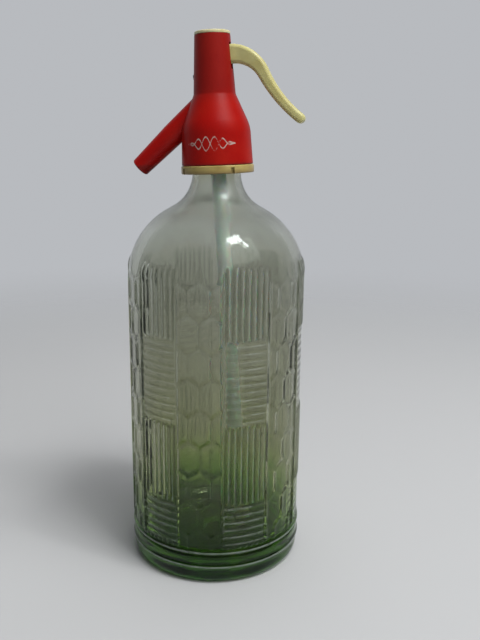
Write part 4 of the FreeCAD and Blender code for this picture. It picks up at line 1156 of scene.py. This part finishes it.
    def _pattern(self, graph: Graph, given: bpy.types.Node, around: Socket, height: Socket,
                 radius: Socket) -> tuple[Socket, Socket]:
        """The pattern of ribs, honeycomb and border ridges, faded out at the foot and on the shoulder.

        Args:
            graph: the tree's graph.
            given: the node of the tree's inputs.
            around: the angle about the axis, plus a full turn.
            height: the height.
            radius: the distance from the axis.

        Returns:
            How far the skin is raised, and how light the glass is left there, 0 to 1.
        """
        wide, skin = self.panel_angle, radius > self.skin_radius
        turn = (around + wide / 2) % wide - wide / 2
        across = turn * (math.pi / 180.0) * graph.out(given, "Field Radius")
        is_ribs = (around + wide / 2) % (2 * wide) < wide
        ribs, lightness = self._ribs(graph, across, height)
        comb = self._comb(graph, across, height, graph.out(given, "Comb Line Half"))
        soft = graph.rise(height, self.pattern_top, self.pattern_top - self.soft_fade)
        above_foot = graph.rise(height, *self.foot_fade)
        shown = graph.rise(height, self.pattern_top, self.pattern_top - self.top_fade) * above_foot
        lightness = lightness * is_ribs + (self.plain_lightness - comb * self.comb_darkening) * (1.0 - is_ribs)
        lightness = lightness * shown + (1.0 - shown) * self.plain_lightness
        ribs = ribs * graph.out(given, "Rib Height") * is_ribs
        comb = comb * graph.out(given, "Comb Line Height") * soft * (1.0 - is_ribs)
        pattern = (ribs + comb) * shown - graph.out(given, "Sunk") * soft * above_foot
        from_border = self.panel_width / 2 - abs(across)
        half = graph.out(given, "Border Half")
        border = graph.larger(half ** 2 - from_border ** 2, 0.0) ** 0.5
        border = border * soft * graph.rise(height, *self.border_fade)
        border = border * graph.rise(from_border, self.margin, self.border_half)
        raised = border + pattern * graph.rise(from_border, self.border_half, self.margin)
        raised = raised * skin * (height > self.skin_low) * (height < self.pattern_top)
        centre, level = self.shoulder_centre
        above = graph.smaller(graph.larger(height - level, 0.0), self.pattern_top - level)
        limit = graph.smaller((self.shoulder_reach ** 2 - above ** 2) ** 0.5 + centre, self.widest)
        lightness = graph.larger(lightness, border / half * self.border_lightness)
        return graph.smaller(raised, limit - radius), lightness * skin + (1.0 - skin) * self.plain_lightness

    def _ribs(self, graph: Graph, across: Socket, height: Socket) -> tuple[Socket, Socket]:
        """Half-round ribs: level in two runs, upright in the others.

        Args:
            graph: the tree's graph.
            across: the arc length from the middle of the column.
            height: the height.

        Returns:
            The height of the ribs and how light the glass is left there, both 0 to 1.
        """
        inner = self.panel_width - 2 * self.margin
        upright = abs(graph.maths("SINE", (across + inner / 2) * (math.pi * self.rib_count / inner)))
        upright = upright * (abs(across) < inner / 2)
        level: Value = 0.0
        is_level: Value = 0.0
        runs = ((self.pattern_low, self.low_level_top, self.level_rib_count[0]),
                (self.mid_level_low, self.mid_level_top, self.level_rib_count[1]))
        for low, top, count in runs:
            here = (height > low) * (height < top)
            waves = graph.maths("SINE", (height - low) * (math.pi * count / (top - low))) ** 2
            level = waves * here + level
            is_level = here + is_level
        faded: Value = 1.0
        for edge, way in ((self.low_level_top, 1.0), (self.mid_level_low, -1.0), (self.mid_level_top, 1.0)):
            past = (height - edge) * way
            faded = graph.smaller(graph.rise(past, 0.0, self.run_fade) + (past < 0.0), 1.0) * faded
        upright_lightness = upright ** 2 * faded + (1.0 - faded) * self.beside_lightness
        lightness = (level * self.level_gain + self.level_lightness) * is_level + upright_lightness * (1.0 - is_level)
        ends = graph.rise(abs(across), inner / 2, inner / 2 - self.rib_end)
        return level * ends * is_level * self.level_share + upright * faded * (1.0 - is_level), lightness

    def _comb(self, graph: Graph, across: Socket, height: Socket, half: Socket) -> Socket:
        """Raised lines between tall six-sided cells, 0 to 1.

        Args:
            graph: the tree's graph.
            across: the arc length from the middle of the column.
            height: the height.
            half: half the width of a line.

        Returns:
            The height of the line there.
        """
        width, row, side = self.panel_width / 2, self.comb_row, self.comb_side
        rise = row - side
        slope = math.cos(math.atan2(rise, width / 2))
        inside: list[Socket] = []
        for shift_across, shift_up in ((width / 2, 0.0), (0.0, row)):
            dx = abs((across + shift_across + width / 2) % width - width / 2)
            dz = abs((height - self.pattern_low + shift_up) % (2 * row) - row)
            slanted = (side / 2 + rise - dx * (rise / (width / 2)) - dz) * slope
            inside.append(graph.smaller(width / 2 - dx, slanted))
        to_line = graph.larger(*inside)
        return graph.maths("COSINE", graph.smaller(to_line / half, 1.0) * math.pi) * 0.5 + 0.5

    def build(self) -> bpy.types.Object:
        """Raises the pattern on the skin.

        Returns:
            The finished bottle.
        """
        blank = new_object("bottle_blank", self.skin(), GLASS)
        relief = blank.modifiers.new("pressed_pattern", "NODES")
        relief.node_group, names = self.relief_tree()
        for name, value in {**self.inputs, "Glass": GLASS.material()}.items():
            relief[names[name]] = value
        pressed = new_object("pressed_bottle", applied(blank, relief), GLASS)
        return give(pressed, "siphon_body", Slot.GLASS, "bottle")


# ---------------------------------------------------------------- the head
@dataclass
class Head:
    """The red cover with its spout, the clamp ring below and the thin cap on top."""

    sharp_angle: float = 30.0

    def build(self, nodes: Nodes) -> list[bpy.types.Object]:
        """Dresses the head's outer pieces.

        Args:
            nodes: the CAD nodes by name.

        Returns:
            The new pieces.
        """
        parts = (("red_cover", "head_shell", RED, Slot.RED),
                 ("red_spout", "spout_tube", RED, Slot.RED),
                 ("ivory_ring", "clamp_ring", IVORY_RING, Slot.IVORY),
                 ("ivory_cap", "top_cap", IVORY_CAP, Slot.IVORY),
                 ("cover_screw", "shell_screw", STEEL, Slot.STEEL))
        return [give(dressed_copy(nodes[node], name, finish, self.sharp_angle), "siphon_body", slot, node)
                for name, node, finish, slot in parts]


@dataclass
class LeverArm:
    """The curved ivory lever."""

    sharp_angle: float = 32.0

    def build(self, nodes: Nodes) -> list[bpy.types.Object]:
        """The lever alone, dressed from its CAD node."""
        arm = dressed_copy(nodes["lever"], "ivory_lever", IVORY_LEVER, self.sharp_angle)
        return [give(arm, "lever", Slot.IVORY, "lever")]


@dataclass
class InnerWorks:
    """The tube, the spring and the valve parts, which keep their CAD shape. Metres."""

    valve_travel: float = 0.00183

    def coil(self, node: bpy.types.Object) -> bpy.types.Object:
        """The return spring, dressed from its CAD node with a mesh of its own.

        Args:
            node: the CAD node's object.

        Returns:
            The new piece.
        """
        spring = dressed_copy(node, "coil_spring", STEEL)
        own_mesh(spring)
        return give(spring, "siphon_body", Slot.STEEL, "return_spring")

    def build(self, nodes: Nodes) -> list[bpy.types.Object]:
        """Dresses the tube, the spring and, in place, the other inner parts.

        Args:
            nodes: the CAD nodes by name.

        Returns:
            The new pieces.
        """
        kept = {NICKEL: ("valve_body",),
                BRASS: ("tube_holder", "gland_nut", "valve_piston", "spring_cup"),
                STEEL: ("disc_screw", "lever_pin"),
                RUBBER: ("neck_gasket", "spout_seal", "tube_grommet", "gland_packing", "valve_disc",
                         "cap_washer"),
                IVORY_RING: ("collar_half_lever_side", "collar_half_spout_side")}
        for finish, names in kept.items():
            for name in names:
                mesh = nodes[name].data
                mesh.materials.clear()
                mesh.materials.append(finish.material())
        tube = dressed_copy(nodes["dip_tube"], "milky_tube", MILKY)
        return [give(tube, "siphon_body", Slot.TUBE, "dip_tube"), self.coil(nodes["return_spring"])]


# ---------------------------------------------------------------- studio
def turned(first: Vector, second: Vector, angle: float) -> tuple[Vector, Vector]:
    """Two square directions after a turn in their plane, in radians, of the first towards the second."""
    cosine, sine = math.cos(angle), math.sin(angle)
    return first * cosine + second * sine, second * cosine - first * sine


@dataclass
class Viewpoint:
    """The camera, given as it stands to the object. Millimetres, pixels of the 480 by 640 frame, degrees."""

    focal: float = 721.0
    pitch: float = 13.7
    roll: float = -0.6
    distance: float = 398.1
    height: float = 234.4
    axis_column: float = 215.0
    round_by: float = 10.3
    frame: tuple[int, int] = (480, 640)
    sensor: float = 36.0

    def build(self) -> bpy.types.Object:
        """Sets up the scene's camera.

        Returns:
            The camera.
        """
        turn, pitch, roll = (math.radians(a) for a in (self.round_by, self.pitch, self.roll))
        yaw = math.atan((self.frame[0] / 2 - self.axis_column) / self.focal * math.cos(pitch))
        ahead = Vector((-math.sin(turn), math.cos(turn), 0.0))
        place = (Vector((0.0, 0.0, self.height)) - ahead * self.distance) * MM
        ahead, right = turned(ahead, Vector((math.cos(turn), math.sin(turn), 0.0)), yaw)
        look, up = turned(ahead, Vector((0.0, 0.0, 1.0)), -pitch)
        right, up = turned(right, up, -roll)
        data = bpy.data.cameras.new("camera")
        data.sensor_width = self.sensor
        data.lens = self.focal * self.sensor / max(self.frame)
        data.clip_start = 0.01
        camera = bpy.data.objects.new("camera", data)
        camera.matrix_world = Matrix.Translation(place) @ Matrix((right, up, -look)).transposed().to_4x4()
        bpy.context.scene.collection.objects.link(camera)
        bpy.context.scene.camera = camera
        return camera


@dataclass(frozen=True)
class Lamp:
    """A rectangular lamp: where it hangs, what it faces, its sides in metres and its power in watts.

    It may be left out of what surfaces mirror, and of what is seen through glass.
    """

    name: str
    place: tuple[float, float, float]
    target: tuple[float, float, float]
    sides: tuple[float, float]
    power: float
    mirrored: bool = True
    through: bool = True

    def build(self) -> bpy.types.Object:
        """Hangs the lamp in the scene.

        Returns:
            The lamp.
        """
        data = bpy.data.lights.new(self.name, "AREA")
        data.shape = "RECTANGLE"
        data.size, data.size_y = self.sides
        data.energy = self.power
        lamp = bpy.data.objects.new(self.name, data)
        lamp.visible_glossy = self.mirrored
        lamp.visible_transmission = self.through
        place = Vector(self.place)
        facing = (place - Vector(self.target)).to_track_quat("Z", "Y")
        lamp.matrix_world = Matrix.Translation(place) @ facing.to_matrix().to_4x4()
        bpy.context.scene.collection.objects.link(lamp)
        return lamp


@dataclass
class Studio:
    """Pale ground, even world light and soft lamps."""

    rounds: tuple[float, ...] = (0.3, 0.8, 1.6)
    sides: int = 64
    world_tone: Colour = (0.48, 0.495, 0.52, 1.0)
    ceiling_tone: Colour = (0.27, 0.28, 0.29, 1.0)
    ceiling_edge: Span = (0.3, 0.85)
    world_light: float = 0.5
    # Less of the world is mirrored from the camera's side than from behind the object.
    mirrored_front: float = 0.22
    mirrored_edge: Span = (-0.2, 0.6)
    behind: Point = (-0.156, 0.988)

    def build(self) -> None:
        """The floor, the world and the lamps."""
        self._floor()
        self._world()
        for lamp in (
            Lamp("window", (0.43, -0.31, 1.2), (0.0, 0.0, 0.2), (0.30, 0.2), 6.0),
            Lamp("window_pane", (0.66, -0.27, 1.1), (0.0, 0.0, 0.2), (0.08, 0.2), 1.3),
            Lamp("key", (1.45, -0.92, 2.1), (0.0, 0.0, 0.12), (2.2, 1.8), 48.0, mirrored=False),
            Lamp("overhead", (0.0, 0.5, 2.7), (0.0, 0.0, 0.1), (1.8, 1.8), 19.0, False, False),
        ):
            lamp.build()

    def _floor(self) -> None:
        """A wide flat round of ground."""
        shape = bmesh.new()
        spokes = [(math.cos(math.tau * i / self.sides), math.sin(math.tau * i / self.sides))
                  for i in range(self.sides)]
        rings = [[shape.verts.new((radius * x, radius * y, 0.0)) for x, y in spokes]
                 for radius in self.rounds]
        shape.faces.new(rings[0])
        for inner, outer in zip(rings, rings[1:]):
            for i in range(self.sides):
                j = (i + 1) % self.sides
                shape.faces.new((inner[i], outer[i], outer[j], inner[j]))
        mesh = bpy.data.meshes.new("ground")
        shape.to_mesh(mesh)
        shape.free()
        new_object("ground", mesh, PaleFloor())

    def _world(self) -> None:
        """A pale world all round with a dim ceiling."""
        world = bpy.data.worlds.new("pale_world")
        bpy.context.scene.world = world
        world.use_nodes = True
        world.node_tree.nodes.clear()
        graph = Graph(world.node_tree)
        x, y, z = graph.parts(graph.read("ShaderNodeTexCoord", "Generated"))
        tone = graph.mix(graph.rise(z, *self.ceiling_edge), self.world_tone, self.ceiling_tone)
        path = graph.node("ShaderNodeLightPath")
        seen = graph.larger(graph.out(path, "Is Camera Ray"), graph.out(path, "Is Transmission Ray"))
        back = x * self.behind[0] + y * self.behind[1]
        mirrored = graph.rise(back, *self.mirrored_edge, self.mirrored_front, 1.0)
        mirrored = (mirrored - self.world_light) * graph.out(path, "Is Glossy Ray") + self.world_light
        strength = seen * (1.0 - mirrored) + mirrored
        background = graph.read("ShaderNodeBackground", 0, None, {"Color": tone, "Strength": strength})
        graph.node("ShaderNodeOutputWorld", None, {"Surface": background})


def main() -> None:
    """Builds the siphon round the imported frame, in its studio."""
    logging.basicConfig(level=logging.INFO, format="%(name)s: %(message)s")
    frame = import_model()
    Viewpoint().build()
    Studio().build()
    bpy.context.scene.view_settings.view_transform = "Standard"
    pieces = [Bottle().build()]
    for part in (Head(), LeverArm(), InnerWorks()):
        pieces += part.build(frame["nodes"])
    for piece in pieces:
        LOG.info("%s: %d faces", piece.name, len(piece.data.polygons))


if __name__ == "__main__":
    main()
